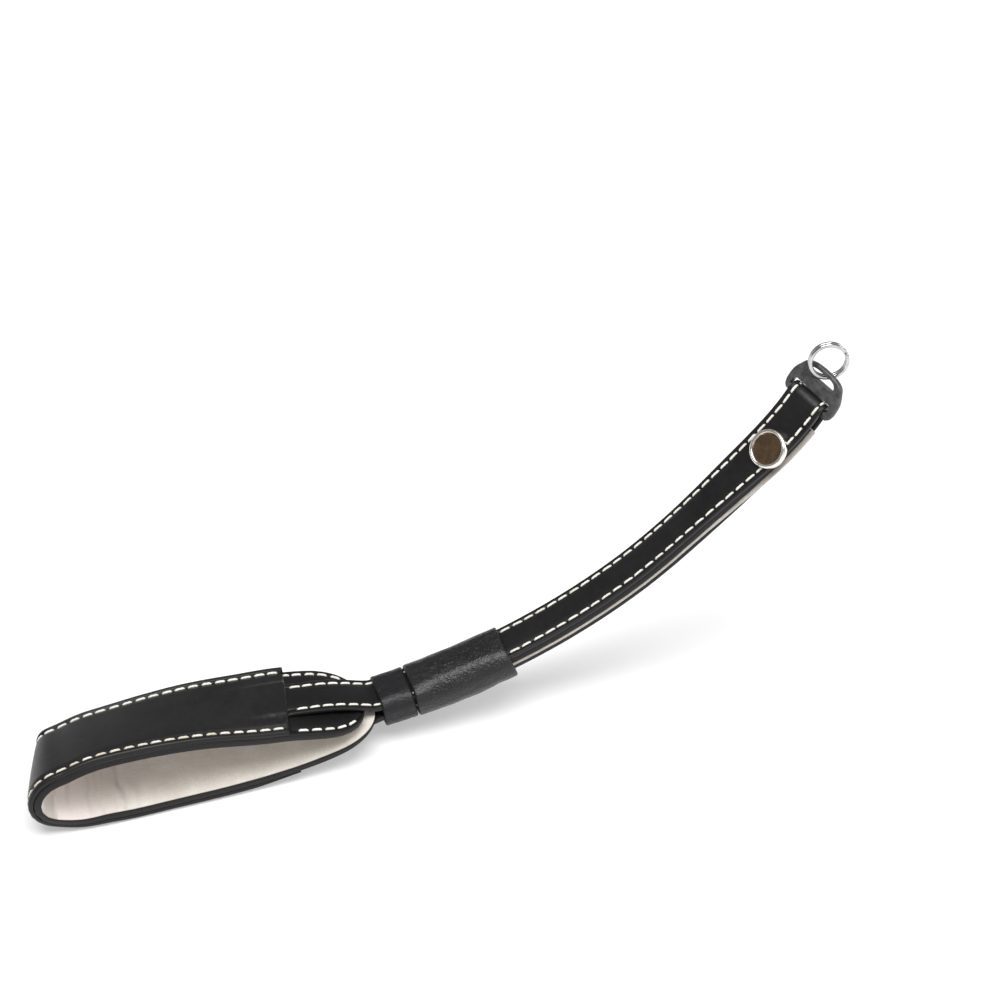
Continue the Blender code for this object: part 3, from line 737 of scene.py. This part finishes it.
def build_backing():
    ends = [0.0, 0.12, 0.3, 0.5, 0.8, 1.2, 1.6, 2.0, 2.5, 3.0, 3.6, 4.2, 5.0, 6.0, 7.0, 8.0, 9.2, 10.5, 12.0, 13.5]
    stations = ends + spaced(14.5, LOOP_LEN - 14.5, 0.9) + [LOOP_LEN - e for e in ends[::-1]]
    frames = [loop_frame(s) for s in stations]
    sections, edge, groove_shade = [], [], []
    for s in stations:
        hw = end_round(from_end(s), WIDE_W / 2)
        if from_end(s) < 0.45:
            hw = max(1.4, hw - 1.1 * (1 - from_end(s) / 0.45) ** 2)
        lin, hi = layer_levels(s)
        shown = s < C0 + 1 or s > C1 - 1
        cr = min(0.55, 0.45 * hi)
        rim = min(0.42, hw * 0.2)
        row = hw - 1.7
        sec, ed, gr = [], [], []
        # near lower corner, up the side, over the top, down the far side
        for w, h, e in ((hw - rim, 0.10, 1), (hw - 0.22, 0.02, 1), (hw - 0.06, 0.12, 1), (hw, 0.35, 1)):
            sec.append((w, h)); ed.append(e); gr.append(0)
        for a in np.linspace(0, 90, 6):
            c, t = math.cos(math.radians(a)), math.sin(math.radians(a))
            sec.append((hw - cr + cr * c, hi - cr + cr * t)); ed.append(1.0 - 0.6 * t); gr.append(0)
        cols = [1.25, 1.1, 0.95, 0.8, 0.65, 0.5, 0.38, 0.26, 0.13, 0.0, -0.13, -0.26, -0.38, -0.5, -0.65, -0.85, -1.2]
        ws = [row + c for c in cols if row + c > 0.3 and row + c < hw - cr - 0.03]
        pad = len(cols) - len(ws)
        ws = ws + [ws[-1] * (1 - 0.1 * (i + 1)) for i in range(pad)] if ws else [0.3] * len(cols)
        tops = [(w, 1) for w in ws] + [(ws[-1] * 0.55, 1), (0.0, 1), (-ws[-1] * 0.55, 1)] + [(-w, 1) for w in ws[::-1]]
        for w, _ in tops:
            g = 0.0
            if shown:
                g = 0.20 * math.exp(-((abs(w) - row) / 0.33) ** 2)
                rise = 0.16 * smooth((row - 0.4 - abs(w)) / 0.9)
            else:
                rise = 0.0
            # the groove value paints shade into the stitch channel, by its depth
            sec.append((w, hi - g + rise)); ed.append(0.0); gr.append(min(1.0, g / 0.2))
        for a in np.linspace(90, 180, 6):
            c, t = math.cos(math.radians(a)), math.sin(math.radians(a))
            sec.append((-hw + cr + cr * c, hi - cr + cr * t)); ed.append(1.0 - 0.6 * t); gr.append(0)
        for w, h, e in ((-hw, 0.35, 1), (-hw + 0.06, 0.12, 1), (-hw + 0.22, 0.02, 1), (-hw + rim, 0.10, 1)):
            sec.append((w, h)); ed.append(e); gr.append(0)
        for w in (-hw + rim + 0.15, 0.0, hw - rim - 0.15):
            sec.append((w, lin * 0.75)); ed.append(1); gr.append(0)
        sections.append(np.array(sec)); edge.append(ed); groove_shade.append(gr)
    rings = strip_mesh(frames, sections)
    normals = np.array([f[3] for f in frames])[:, None, :]
    rings += (0.03 * wobble(rings, 5.0, 3))[..., None] * normals
    verts, faces = closed_strip(rings)
    e = list(np.array(edge, float).ravel()) + [1.0, 1.0]
    g = list(np.array(groove_shade, float).ravel()) + [0.0, 0.0]
    return make("loop_backing_skin", verts, faces, M_BASE, "strap", ["loop_backing"],
                {"edge": e, "groove_shade": g}, 50)


# ----------------------------------------------------------- hand loop: lining
def build_lining():
    ends = [0.35, 0.6, 0.9, 1.3, 1.8, 2.4, 3.0, 3.8, 4.8, 6.0, 7.2, 8.5, 10.0, 12.0]
    stations = ends + spaced(13.0, LOOP_LEN - 13.0, 0.62) + [LOOP_LEN - e for e in ends[::-1]]
    frames = [loop_frame(s) for s in stations]
    n_w = 46
    sections, edge, blush = [], [], []
    for s in stations:
        hw = end_round(from_end(s), WIDE_W / 2) - 0.36
        lin, hi = layer_levels(s)
        us = np.linspace(1, -1, n_w)
        us = np.sign(us) * (1 - (1 - np.abs(us)) ** 1.35)
        sec, ed, bl = [], [], []
        p = along(LOOP_S, LOOP_F, s)
        b = smooth((-118.0 - p[0]) / 16.0)
        for u in us:
            sec.append((u * hw, 0.06 - 0.10 * (1 - abs(u) ** 10)))
            ed.append(smooth((abs(u) - 0.985) / 0.015) * 0.6)
            bl.append(b)
        for u in (-1.0, 0.0, 1.0):
            sec.append((u * (hw - 0.1), lin * 0.8)); ed.append(1.0); bl.append(b)
        sections.append(np.array(sec)); edge.append(ed); blush.append(bl)
    rings = strip_mesh(frames, sections)
    normals = np.array([f[3] for f in frames])[:, None, :]
    # cross wrinkles where the lining is bent round the tip, with painted shade in their creases; soft unevenness
    # elsewhere
    face = rings[:, :n_w]
    amp = 0.05 * wobble(face, 6.0, 5) + 0.02 * wobble(face, 1.6, 6)
    for i, s in enumerate(stations):
        p = along(LOOP_S, LOOP_F, s)
        k = smooth((-104.0 - p[0]) / 20.0) * (0.35 + 0.65 * smooth((LOOP_LEN * 0.60 - s) / 20.0))
        if k <= 0 or s < 40:
            continue
        for j in range(n_w):
            w = sections[i][j, 0]
            ph = s + 1.3 * noise.noise(Vector((w * 0.16, s * 0.11, 2.0)))
            env = 0.5 + 0.5 * noise.noise(Vector((w * 0.13, s * 0.5, 9.0)))
            fold = k * env * max(0.0, noise.noise(Vector((ph * 0.62, w * 0.05, 4.0))))
            amp[i, j] -= 0.95 * fold
            # painted shade: the crease depth also darkens the suede through its edge value
            edge[i][j] = max(edge[i][j], min(0.7, 3.0 * fold))
    rings[:, :n_w] += amp[..., None] * normals
    verts, faces = closed_strip(rings)
    e = list(np.array(edge, float).ravel()) + [1.0, 1.0]
    b = list(np.array(blush, float).ravel()) + [0.0, 0.0]
    return make("loop_lining_skin", verts, faces, M_LINING, "strap", ["loop_lining"],
                {"edge": e, "blush": b}, 55)


# ---------------------------------------------------------------- narrow strap
def build_strap(frames, stations):
    half = NARROW_W / 2
    out = outline(half, 0.38, 0, NARROW_ROW)
    ht = NARROW_T / 2
    sections, edge, groove_shade = [], [], []
    for i, s in enumerate(stations):
        pucker = 0.5 - 0.5 * math.cos(2 * math.pi * s / PITCH)
        sec, ed, gr = [], [], []
        for w, dz, kind in out:
            z, g = top_height(w, NARROW_ROW, 0.13, 0.05, half, 0.24 - 0.08 * pucker, 0.03)
            if kind == "corner":
                sec.append((w, ht + dz))
                ed.append(1.0 if dz < -0.12 else 0.4)
                gr.append(0.0)
            else:
                sec.append((w, ht + z - g))
                ed.append(0.0)
                # the groove value paints shade into the stitch channel, by its depth
                gr.append(min(1.0, g / 0.24))
        for w, h in ((-half, 0.0), (-half + 0.03, -ht + 0.12), (-half + 0.2, -ht - 0.02), (0.0, -ht - 0.04),
                     (half - 0.2, -ht - 0.02), (half - 0.03, -ht + 0.12), (half, 0.0)):
            sec.append((w, h)); ed.append(1.0); gr.append(0.0)
        sections.append(np.array(sec)); edge.append(ed); groove_shade.append(gr)
    rings = strip_mesh(frames, sections)
    normals = np.array([f[3] for f in frames])[:, None, :]
    n = len(out)
    rings[:, :n] += (0.03 * wobble(rings[:, :n], 7.0, 8) + 0.012 * wobble(rings[:, :n], 2.2, 9))[..., None] * normals
    verts, faces = closed_strip(rings)
    e = list(np.array(edge, float).ravel()) + [1.0, 1.0]
    g = list(np.array(groove_shade, float).ravel()) + [0.0, 0.0]
    return make("strap_skin", verts, faces, M_STRAP, "strap", ["strap_leather"],
                {"edge": e, "groove_shade": g}, 55)


def build_strap_lining(name, side, node):
    run = spaced(KEEPER_S[0] + 0.8, S_BAR - 5.0, 0.9)
    lo = -0.36 if side > 0 else 0.46
    frames, sections, edge = [], [], []
    for s in run:
        p, t, w, n = mid_frame(s)
        frames.append((p, t, w, side * n))
        hl = 5.36 + (NLIN_SHOW * smooth((s - 84.0) / 34.0) if side < 0 else 0.0)
        far = 5.3
        d = S_BAR - 5.0 - s
        cut = 0.25 * (1 - smooth(d / 0.8))
        mid = (lo + 1.34) / 2
        sec = [(hl - 0.25, lo), (hl - 0.06, lo + 0.06), (hl - cut, lo + 0.22), (hl + 0.02 - cut, mid),
               (hl - cut, 1.05), (hl - 0.05, 1.24), (hl - 0.25, 1.32), (0.0, 1.34), (-far + 0.25, 1.32),
               (-far + 0.05, 1.24), (-far, 1.05), (-far, mid), (-far, lo + 0.22), (-far + 0.06, lo + 0.06),
               (-far + 0.25, lo), (0.0, lo)]
        sections.append(np.array(sec))
        edge.append([0.0] * len(sec))
    rings = strip_mesh(frames, sections)
    normals = np.array([f[2] for f in frames])[:, None, :]
    rings += (0.05 * wobble(rings, 2.4, 11 + side))[..., None] * normals
    verts, faces = closed_strip(rings)
    zeros = [0.0] * len(verts)
    if side > 0:
        return make(name, verts, faces, M_BASE, "strap", [node],
                    {"edge": zeros, "groove_shade": zeros}, 50)
    return make(name, verts, faces, M_NLINING, "strap", [node],
                {"edge": zeros, "blush": zeros}, 50)


# -------------------------------------------------------------------- stitches
def stitch_row(points, outs, phase=0.0, pitch=PITCH, dash=DASH, radius=0.34, sink=0.34, seed=0,
               tone=(0.35, 1.0), lean=0.0):
    """Separate stitches along a line of points; each dips into the leather at
    both ends and has the twist of a laid two-ply thread."""
    p = np.array(points)
    o = np.array(outs)
    d = np.concatenate([[0.0], np.cumsum(np.linalg.norm(np.diff(p, axis=0), axis=1))])
    count = int((d[-1] - phase) / pitch)
    verts, faces, tones, dark = [], [], [], []
    rng = np.random.default_rng(100 + seed)
    n_l, n_c = 13, 10
    for k in range(count):
        a0 = phase + k * pitch + (pitch - dash) / 2
        jitter = rng.uniform(-0.10, 0.10)
        ln = dash * rng.uniform(0.93, 1.03)
        tn = tone[0] + (tone[1] - tone[0]) * rng.random()
        skew = lean + rng.uniform(-0.05, 0.05)
        start = len(verts)
        us = np.linspace(0, 1, n_l)
        us = 0.5 - 0.5 * np.cos(math.pi * us) * (0.35 + 0.65 * np.abs(np.cos(math.pi * us)) ** 0.0)
        for u in us:
            s = a0 + jitter + ln * u
            c = np.array([np.interp(s, d, p[:, i]) for i in range(3)])
            c2 = np.array([np.interp(s + 0.3, d, p[:, i]) for i in range(3)])
            out = np.array([np.interp(s, d, o[:, i]) for i in range(3)])
            out /= np.linalg.norm(out)
            t = c2 - c
            if np.linalg.norm(t) < 1e-6:
                t = c - np.array([np.interp(s - 0.3, d, p[:, i]) for i in range(3)])
            t /= np.linalg.norm(t)
            side = np.cross(out, t)
            side /= np.linalg.norm(side)
            q = abs(2 * u - 1)
            dip = sink * q ** 5
            fat = (1 - q ** 6) ** 0.5 if q < 1 else 0.0
            rr = radius * (0.42 + 0.58 * fat)
            c = c + side * skew * (u - 0.5) * ln + out * (0.10 - dip)
            for j in range(n_c):
                ang = 2 * math.pi * j / n_c
                ply = 1 + 0.13 * math.cos(2 * (ang - 2.2 * s / radius * 0.5))
                verts.append(c + rr * ply * (math.cos(ang) * side * 1.02 + math.sin(ang) * out * 0.82))
                tones.append(tn)
                # painted shade towards both ends of each stitch, where it dips into its hole
                dark.append(0.75 * q ** 8)
        faces += grid_faces(n_l, n_c, start=start)
        faces.append(tuple(start + j for j in range(n_c))[::-1])
        faces.append(tuple(start + (n_l - 1) * n_c + j for j in range(n_c)))
    return verts, faces, tones, dark


def build_stitches(name, rows, node):
    verts, faces, tones, dark = [], [], [], []
    for r in rows:
        v, f, t, dk = r
        k = len(verts)
        verts += v
        faces += [tuple(i + k for i in q) for q in f]
        tones += t
        dark += dk
    return make(name, np.array(verts), faces, M_THREAD, "strap", [node],
                {"tone": tones, "groove_shade": dark}, 60)


def loop_row(side, seed, tone):
    """Along the outer leather of the loop."""
    half = WIDE_W / 2
    w = side * WIDE_ROW
    pts, outs = [], []
    for s in spaced(ROW_PHASE, C1 - 0.9, 0.5):
        p, t, ww, r = loop_frame(s)
        fade = 1 - smooth((s - C0) / 16.0)
        sh = COVER_SKEW * w * fade
        pts.append(p + w * ww + (2.02 + (R_COVER[1] - 2.18) * pared(s)) * r + sh * t)
        outs.append(r)
    return stitch_row(pts, outs, seed=seed, tone=tone)


def contour_row(side, which, seed, tone):
    """Round one end of the backing, inside its edge."""
    pts, outs = [], []
    ss = spaced(3.2, COVER_END - 0.4, 0.3) if which == 0 else spaced(3.2, COVER_END + 2.2, 0.3)
    for d in ss[::-1]:
        s = d if which == 0 else LOOP_LEN - d
        p, t, ww, r = loop_frame(s)
        lin, hi = layer_levels(s)
        w = side * (end_round(d, WIDE_W / 2) - 1.7)
        pts.append(p + w * ww + (hi - 0.06) * r)
        outs.append(r)
    return stitch_row(pts, outs, seed=seed, tone=tone, phase=0.1)


def strap_row(frames, side, seed, tone, skip):
    pts, outs = [], []
    for p, t, w, r in frames:
        pts.append(p + side * NARROW_ROW * w + (NARROW_T / 2 - 0.12) * r)
        outs.append(r)
    return stitch_row(pts[4:-4], outs[4:-4], seed=seed, tone=tone, radius=0.31, dash=2.95)


# --------------------------------------------------------------- leather tubes
def ring_profile(w, h, r, count):
    """Evenly spaced points and outward normals round a rounded rectangle."""
    sx, sy = w - 2 * r, h - 2 * r
    per = 2 * (sx + sy) + 2 * math.pi * r
    pts, nrm = [], []
    for i in range(count):
        u = (i + 0.5) / count * per
        seg = [("r", sy), ("c", 0), ("t", sx), ("c", 90), ("l", sy), ("c", 180), ("b", sx), ("c", 270)]
        for kind, val in seg:
            ln = math.pi * r / 2 if kind == "c" else val
            if u <= ln:
                break
            u -= ln
        if kind == "r":
            pts.append((w / 2, -sy / 2 + u)); nrm.append((1, 0))
        elif kind == "l":
            pts.append((-w / 2, sy / 2 - u)); nrm.append((-1, 0))
        elif kind == "t":
            pts.append((sx / 2 - u, h / 2)); nrm.append((0, 1))
        elif kind == "b":
            pts.append((-sx / 2 + u, -h / 2)); nrm.append((0, -1))
        else:
            a = math.radians(val) + u / r
            cx = sx / 2 if val in (0, 270) else -sx / 2
            cy = sy / 2 if val in (0, 90) else -sy / 2
            pts.append((cx + r * math.cos(a), cy + r * math.sin(a))); nrm.append((math.cos(a), math.sin(a)))
    return np.array(pts), np.array(nrm)


def build_tube(name, s0, s1, inner, wall, radius, step, mat, body, node, swell, rough, seed, waist=0.0):
    n = 132
    po, no = ring_profile(inner[0] + 2 * wall, inner[1] + 2 * wall, radius, n)
    pi, ni = ring_profile(inner[0], inner[1], 1.5, n)
    mid_s = spaced(s0 + 0.5, s1 - 0.5, step)
    rr = wall * 0.42
    rings, edge = [], []

    def ring(s, pts):
        p, t, w, r = mid_frame(s)
        return p[None, :] + pts[:, 0:1] * w[None, :] + (pts[:, 1:2] - TUBE_DROP) * r[None, :]

    def outer(s):
        q = (s - s0) / (s1 - s0)
        puff = swell * (1 - abs(2 * q - 1) ** 2.2) - waist * (1 - abs(2 * q - 1) ** 4)
        flat = np.maximum(0, np.abs(no[:, 1]) - 0.6) / 0.4
        k = puff * flat * (1 - (po[:, 0] / (inner[0] / 2 + wall)) ** 2)
        return po + no * k[:, None]

    # inner wall outwards to the start rim, along the outside, and back in
    for s in np.linspace(s1 - 0.5, s0 + 0.5, 8):
        rings.append(ring(s, pi)); edge.append(1.0)
    for a in np.linspace(0, 180, 9)[1:-1]:
        c, si = math.cos(math.radians(a)), math.sin(math.radians(a))
        f = (1 - c) / 2
        rings.append(ring(s0 + 0.5 - 0.5 * si, pi * (1 - f) + outer(s0 + 0.5) * f)); edge.append(0.7)
    for s in mid_s:
        rings.append(ring(s, outer(s))); edge.append(0.0)
    for a in np.linspace(0, 180, 9)[1:-1]:
        c, si = math.cos(math.radians(a)), math.sin(math.radians(a))
        f = (1 + c) / 2
        rings.append(ring(s1 - 0.5 + 0.5 * si, pi * (1 - f) + outer(s1 - 0.5) * f)); edge.append(0.7)
    rings = np.array(rings)
    m = len(rings)
    # unevenness of hand-folded leather, on the outside only
    a, b = 8, m
    face = rings[a:b]
    amp = rough[0] * wobble(face, 6.5, seed) + rough[1] * wobble(face, 1.9, seed + 1) + rough[2] * wobble(face, 0.8, seed + 2)
    f0 = mid_frame((s0 + s1) / 2)
    out_dir = (no[:, 0:1] * f0[2][None, :] + no[:, 1:2] * f0[3][None, :])
    rings[a:b] += amp[..., None] * out_dir[None, :, :]
    verts = rings.reshape(-1, 3)
    faces = grid_faces(m, n, closed_m=True)
    e = np.repeat(np.array(edge), n)
    return make(name, verts, faces, mat, body, [node],
                {"edge": e, "groove_shade": np.zeros(len(e))}, None)


# ----------------------------------------------------------------------- metal
def lathe(name, profile, base, axis, mats, nodes, body="strap", seg=96, sharp=None, bands=None, dents=0.0):
    ref = v3(0, 1, 0) if abs(axis[1]) < 0.9 else v3(1, 0, 0)
    e1 = np.cross(axis, ref)
    e1 /= np.linalg.norm(e1)
    e2 = np.cross(axis, e1)
    verts, faces, rows, index = [], [], [], []
    for r, h in profile:
        if r == 0:
            rows.append([len(verts)])
            verts.append(base + h * axis)
        else:
            rows.append(list(range(len(verts), len(verts) + seg)))
            for i in range(seg):
                a = 2 * math.pi * i / seg
                verts.append(base + h * axis + r * (math.cos(a) * e1 + math.sin(a) * e2))
    for q, (a, b) in enumerate(zip(rows[:-1], rows[1:])):
        for i in range(seg):
            j = (i + 1) % seg
            if len(a) == 1:
                faces.append((a[0], b[i], b[j]))
            elif len(b) == 1:
                faces.append((a[i], b[0], a[j]))
            else:
                faces.append((a[i], b[i], b[j], a[j]))
            index.append(bands[q] if bands else 0)
    return make(name, np.array(verts), faces, mats, body, nodes, None, sharp, index)


def arc(cx, cy, r, a0, a1, n):
    return [(cx + r * math.cos(math.radians(a)), cy + r * math.sin(math.radians(a))) for a in np.linspace(a0, a1, n)]


# ------------------------------------------------------------------- assembly
build_cover()
build_backing()
build_lining()

FRAMES = strip_frames()
_p = np.array([f[0] for f in FRAMES])
STRIP_S = np.concatenate([[0.0], np.cumsum(np.linalg.norm(np.diff(_p, axis=0), axis=1))])
build_strap(FRAMES, STRIP_S)
build_strap_lining("strap_lining_upper_skin", 1, "strap_lining_upper")
build_strap_lining("strap_lining_lower_skin", -1, "strap_lining_lower")

build_stitches("loop_stitches_near", [loop_row(1, 1, (0.0, 0.5)), contour_row(1, 0, 2, (0.5, 1.0)),
                                      contour_row(1, 1, 3, (0.5, 1.0))], "loop_thread_near")
build_stitches("loop_stitches_far", [loop_row(-1, 4, (0.45, 1.0)), contour_row(-1, 0, 5, (0.5, 1.0)),
                                     contour_row(-1, 1, 6, (0.5, 1.0))], "loop_thread_far")
build_stitches("strap_stitches_near", [strap_row(FRAMES, 1, 7, (0.5, 1.0), 0)], "strap_thread_near")
build_stitches("strap_stitches_far", [strap_row(FRAMES, -1, 8, (0.45, 1.0), 0)], "strap_thread_far")

build_tube("fixed_keeper_skin", *KEEPER_S, KEEPER_IN, KEEPER_WALL, 3.7, 0.3, M_KEEPER, "strap", "fixed_keeper",
           0.12, (0.10, 0.075, 0.03), 21)
build_tube("sliding_sleeve_skin", *SLIDER_S, SLIDER_IN, SLIDER_WALL, 4.3, 0.45, M_SLEEVE, "sleeve",
           "sliding_sleeve", 0.80, (0.20, 0.06, 0.02), 31)

RP, RT, RW, RN = mid_frame(RIVET_S)
RP = RP + RIVET_OFF * RW
H0 = N_OUT + 0.5
top = H0 + 1.55
cap = [(0, N_OUT + 0.12), (RIVET_R - 0.7, N_OUT + 0.12)] + arc(RIVET_R - 0.45, N_OUT + 0.57, 0.45, -90, 0, 6) + \
    arc(RIVET_R - 0.62, top - 0.62, 0.62, 0, 100, 9) + arc(4.26, top - 0.22, 0.2, 95, 170, 4) + \
    [(4.05, H0 + 1.20), (3.98, H0 + 1.12), (3.7, H0 + 1.10), (2.0, H0 + 1.13), (1.0, H0 + 1.14), (0, H0 + 1.14)]
bands = [0] * (len(cap) - 1)
for i in range(len(cap) - 5, len(cap) - 1):
    bands[i] = 1
lathe("rivet_cap_polished", cap, RP, RN, [M_RIM, M_FACE], ["rivet_cap"], bands=bands, sharp=40)
H1 = -N_OUT - 0.5
BACK_R = 3.5
back = [(0, H1 + 0.38)] + arc(BACK_R - 0.4, H1 - 0.02, 0.4, 90, 0, 6) + \
    arc(BACK_R - 0.75, H1 - 0.25, 0.75, 0, -70, 7) + [(2.2, H1 - 1.06), (1.6, H1 - 0.98), (1.2, H1 - 0.80), (0, H1 - 0.78)]
lathe("rivet_back_polished", back, RP, RN, [M_STEEL], ["rivet_back"], sharp=40)

# --------------------------------------------------------------- two-slot link
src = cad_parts["end_link"]
me = src.data.copy()
me.transform(src.matrix_world)
me.materials.clear()
me.materials.append(M_LINK)
for a in [a for a in me.attributes if a.name not in ("position", ".edge_verts", ".corner_vert", ".corner_edge", "material_index")
          and not a.is_required and not a.is_internal]:
    me.attributes.remove(a)
bm = bmesh.new()
bm.from_mesh(me)
bmesh.ops.remove_doubles(bm, verts=bm.verts, dist=1e-6)
bm.to_mesh(me)
bm.free()
ob = bpy.data.objects.new("end_link_moulded", me)
bpy.context.scene.collection.objects.link(ob)
rm = ob.modifiers.new("even", "REMESH")
rm.mode = "VOXEL"
rm.voxel_size = 0.00013
sm = ob.modifiers.new("round", "SMOOTH")
sm.factor = 0.5
sm.iterations = 14
dg = bpy.context.evaluated_depsgraph_get()
done = bpy.data.meshes.new_from_object(ob.evaluated_get(dg))
ob.modifiers.clear()
ob.data = done
done.shade_smooth()
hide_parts("end_link")
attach(ob, "link")

# ------------------------------------------------------------------ split ring
RC, RA, RS, RNN = ring_frame()
rings = []
turns, per = 1.94, 110
steps = int(turns * per)
pitch = RING_WIRE_H + 0.04
half_w, half_h = RING_WIRE_W / 2, RING_WIRE_H / 2 + 0.02
prof = []
for k in range(20):
    a = 2 * math.pi * k / 20
    c, s_ = math.cos(a), math.sin(a)
    prof.append((half_w * math.copysign(abs(c) ** 0.72, c), half_h * math.copysign(abs(s_) ** 0.62, s_)))
for i in range(steps + 1):
    a = 2 * math.pi * (i / per) + 0.6
    lift = (-0.5 if i / per < 1.0 else 0.5) * pitch
    if abs(i / per - 1.0) < 0.09:
        lift = (i / per - 1.0) / 0.09 * 0.5 * pitch
    e = math.cos(a) * RA + math.sin(a) * RS
    end = min(i, steps - i)
    k = 1.0 - 0.45 * max(0.0, 1 - end / 3.0) ** 2
    c = RC + RING_R * e + lift * RNN
    rings.append([c + k * x0 * e + k * y0 * RNN for x0, y0 in prof])
verts, faces = closed_strip(np.array(rings))
make("split_ring_polished", verts, faces, M_STEEL, "ring", ["split_ring"], None, 50)

# the post is inside the strap; it keeps its shape and gets the steel finish
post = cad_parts["rivet_post"]
for i in range(len(post.material_slots)):
    post.material_slots[i].material = M_STEEL
post.data.materials.clear() if not post.data.materials else None
if not post.data.materials:
    post.data.materials.append(M_STEEL)

# ----------------------------------------------------------------------- stage
FLOOR_Z = CAD_BOX[0][2]
bpy.ops.mesh.primitive_plane_add(size=8.0, location=(0, 0, FLOOR_Z - 0.00002))
floor = bpy.context.object
floor.name = "floor"
mf, nt, b = new_material("floor_pale")
v = coords(nt, (1.0, 1.0, 1.0))
link(nt, ramp(nt, noise_tex(nt, v, 3.0, 2.0, 0.5), [(0.3, 0.64), (0.7, 0.66)]), b.inputs["Base Color"])
b.inputs["Roughness"].default_value = 0.85
b.inputs["Emission Color"].default_value = (1.0, 1.0, 1.0, 1.0)
b.inputs["Emission Strength"].default_value = 0.33
b.inputs["Specular IOR Level"].default_value = 0.1
floor.data.materials.append(mf)


def area_light(name, at, aim, size, power, colour=(1, 1, 1)):
    li = bpy.data.lights.new(name, "AREA")
    li.shape = "RECTANGLE"
    li.size, li.size_y = size
    li.energy = power
    li.color = colour
    ob = bpy.data.objects.new(name, li)
    bpy.context.scene.collection.objects.link(ob)
    ob.location = at
    d = Vector(aim) - Vector(at)
    ob.rotation_mode = "QUATERNION"
    ob.rotation_quaternion = d.to_track_quat("-Z", "Y")
    return ob


TARGET = Vector([float(c) for c in to_m((0.0, 60.2, 15.0))])
area_light("overhead", (-0.22, -0.26, 1.12), (-0.08, 0.0, -0.06), (1.0, 0.7), 17.0)
area_light("front_fill", (0.10, -1.25, 0.42), (-0.08, 0.0, -0.06), (1.3, 0.7), 2.6)
area_light("right_fill", (1.0, -0.35, 0.45), (-0.04, 0.0, -0.05), (0.5, 0.6), 4.0)

world = bpy.data.worlds.new("studio")
bpy.context.scene.world = world
world.use_nodes = True
nt = world.node_tree
bg = nt.nodes["Background"]
tc = nt.nodes.new("ShaderNodeTexCoord")
sep = nt.nodes.new("ShaderNodeSeparateXYZ")
link(nt, tc.outputs["Generated"], sep.inputs[0])
sky = ramp(nt, sep.outputs["Z"], [(0.0, (0.40, 0.40, 0.40)), (0.20, (0.30, 0.30, 0.30)), (0.45, (0.26, 0.26, 0.26)),
                                  (0.80, (0.30, 0.30, 0.30)), (1.0, (0.50, 0.50, 0.50))])
link(nt, sky, bg.inputs["Color"])
bg.inputs["Strength"].default_value = 1.0

# ---------------------------------------------------------------------- camera
cam_data = bpy.data.cameras.new("camera")
cam_data.sensor_width = 36.0
cam_data.lens = 86.4
cam_data.clip_start, cam_data.clip_end = 0.01, 50.0
cam = bpy.data.objects.new("camera", cam_data)
bpy.context.scene.collection.objects.link(cam)
az, el = math.radians(-18.0), math.radians(40.0)
back_dir = Vector((math.sin(az) * math.cos(el), -math.cos(az) * math.cos(el), math.sin(el)))
cam.location = TARGET + back_dir * (2400.0 / 3600.0)
cam.rotation_mode = "QUATERNION"
cam.rotation_quaternion = (-back_dir).to_track_quat("-Z", "Y")
bpy.context.scene.camera = cam

bpy.context.scene.view_settings.view_transform = "Standard"
bpy.context.scene.view_settings.look = "None"
bpy.context.scene.view_settings.exposure = 0.0
bpy.context.scene.view_settings.gamma = 1.0

bpy.context.view_layer.update()
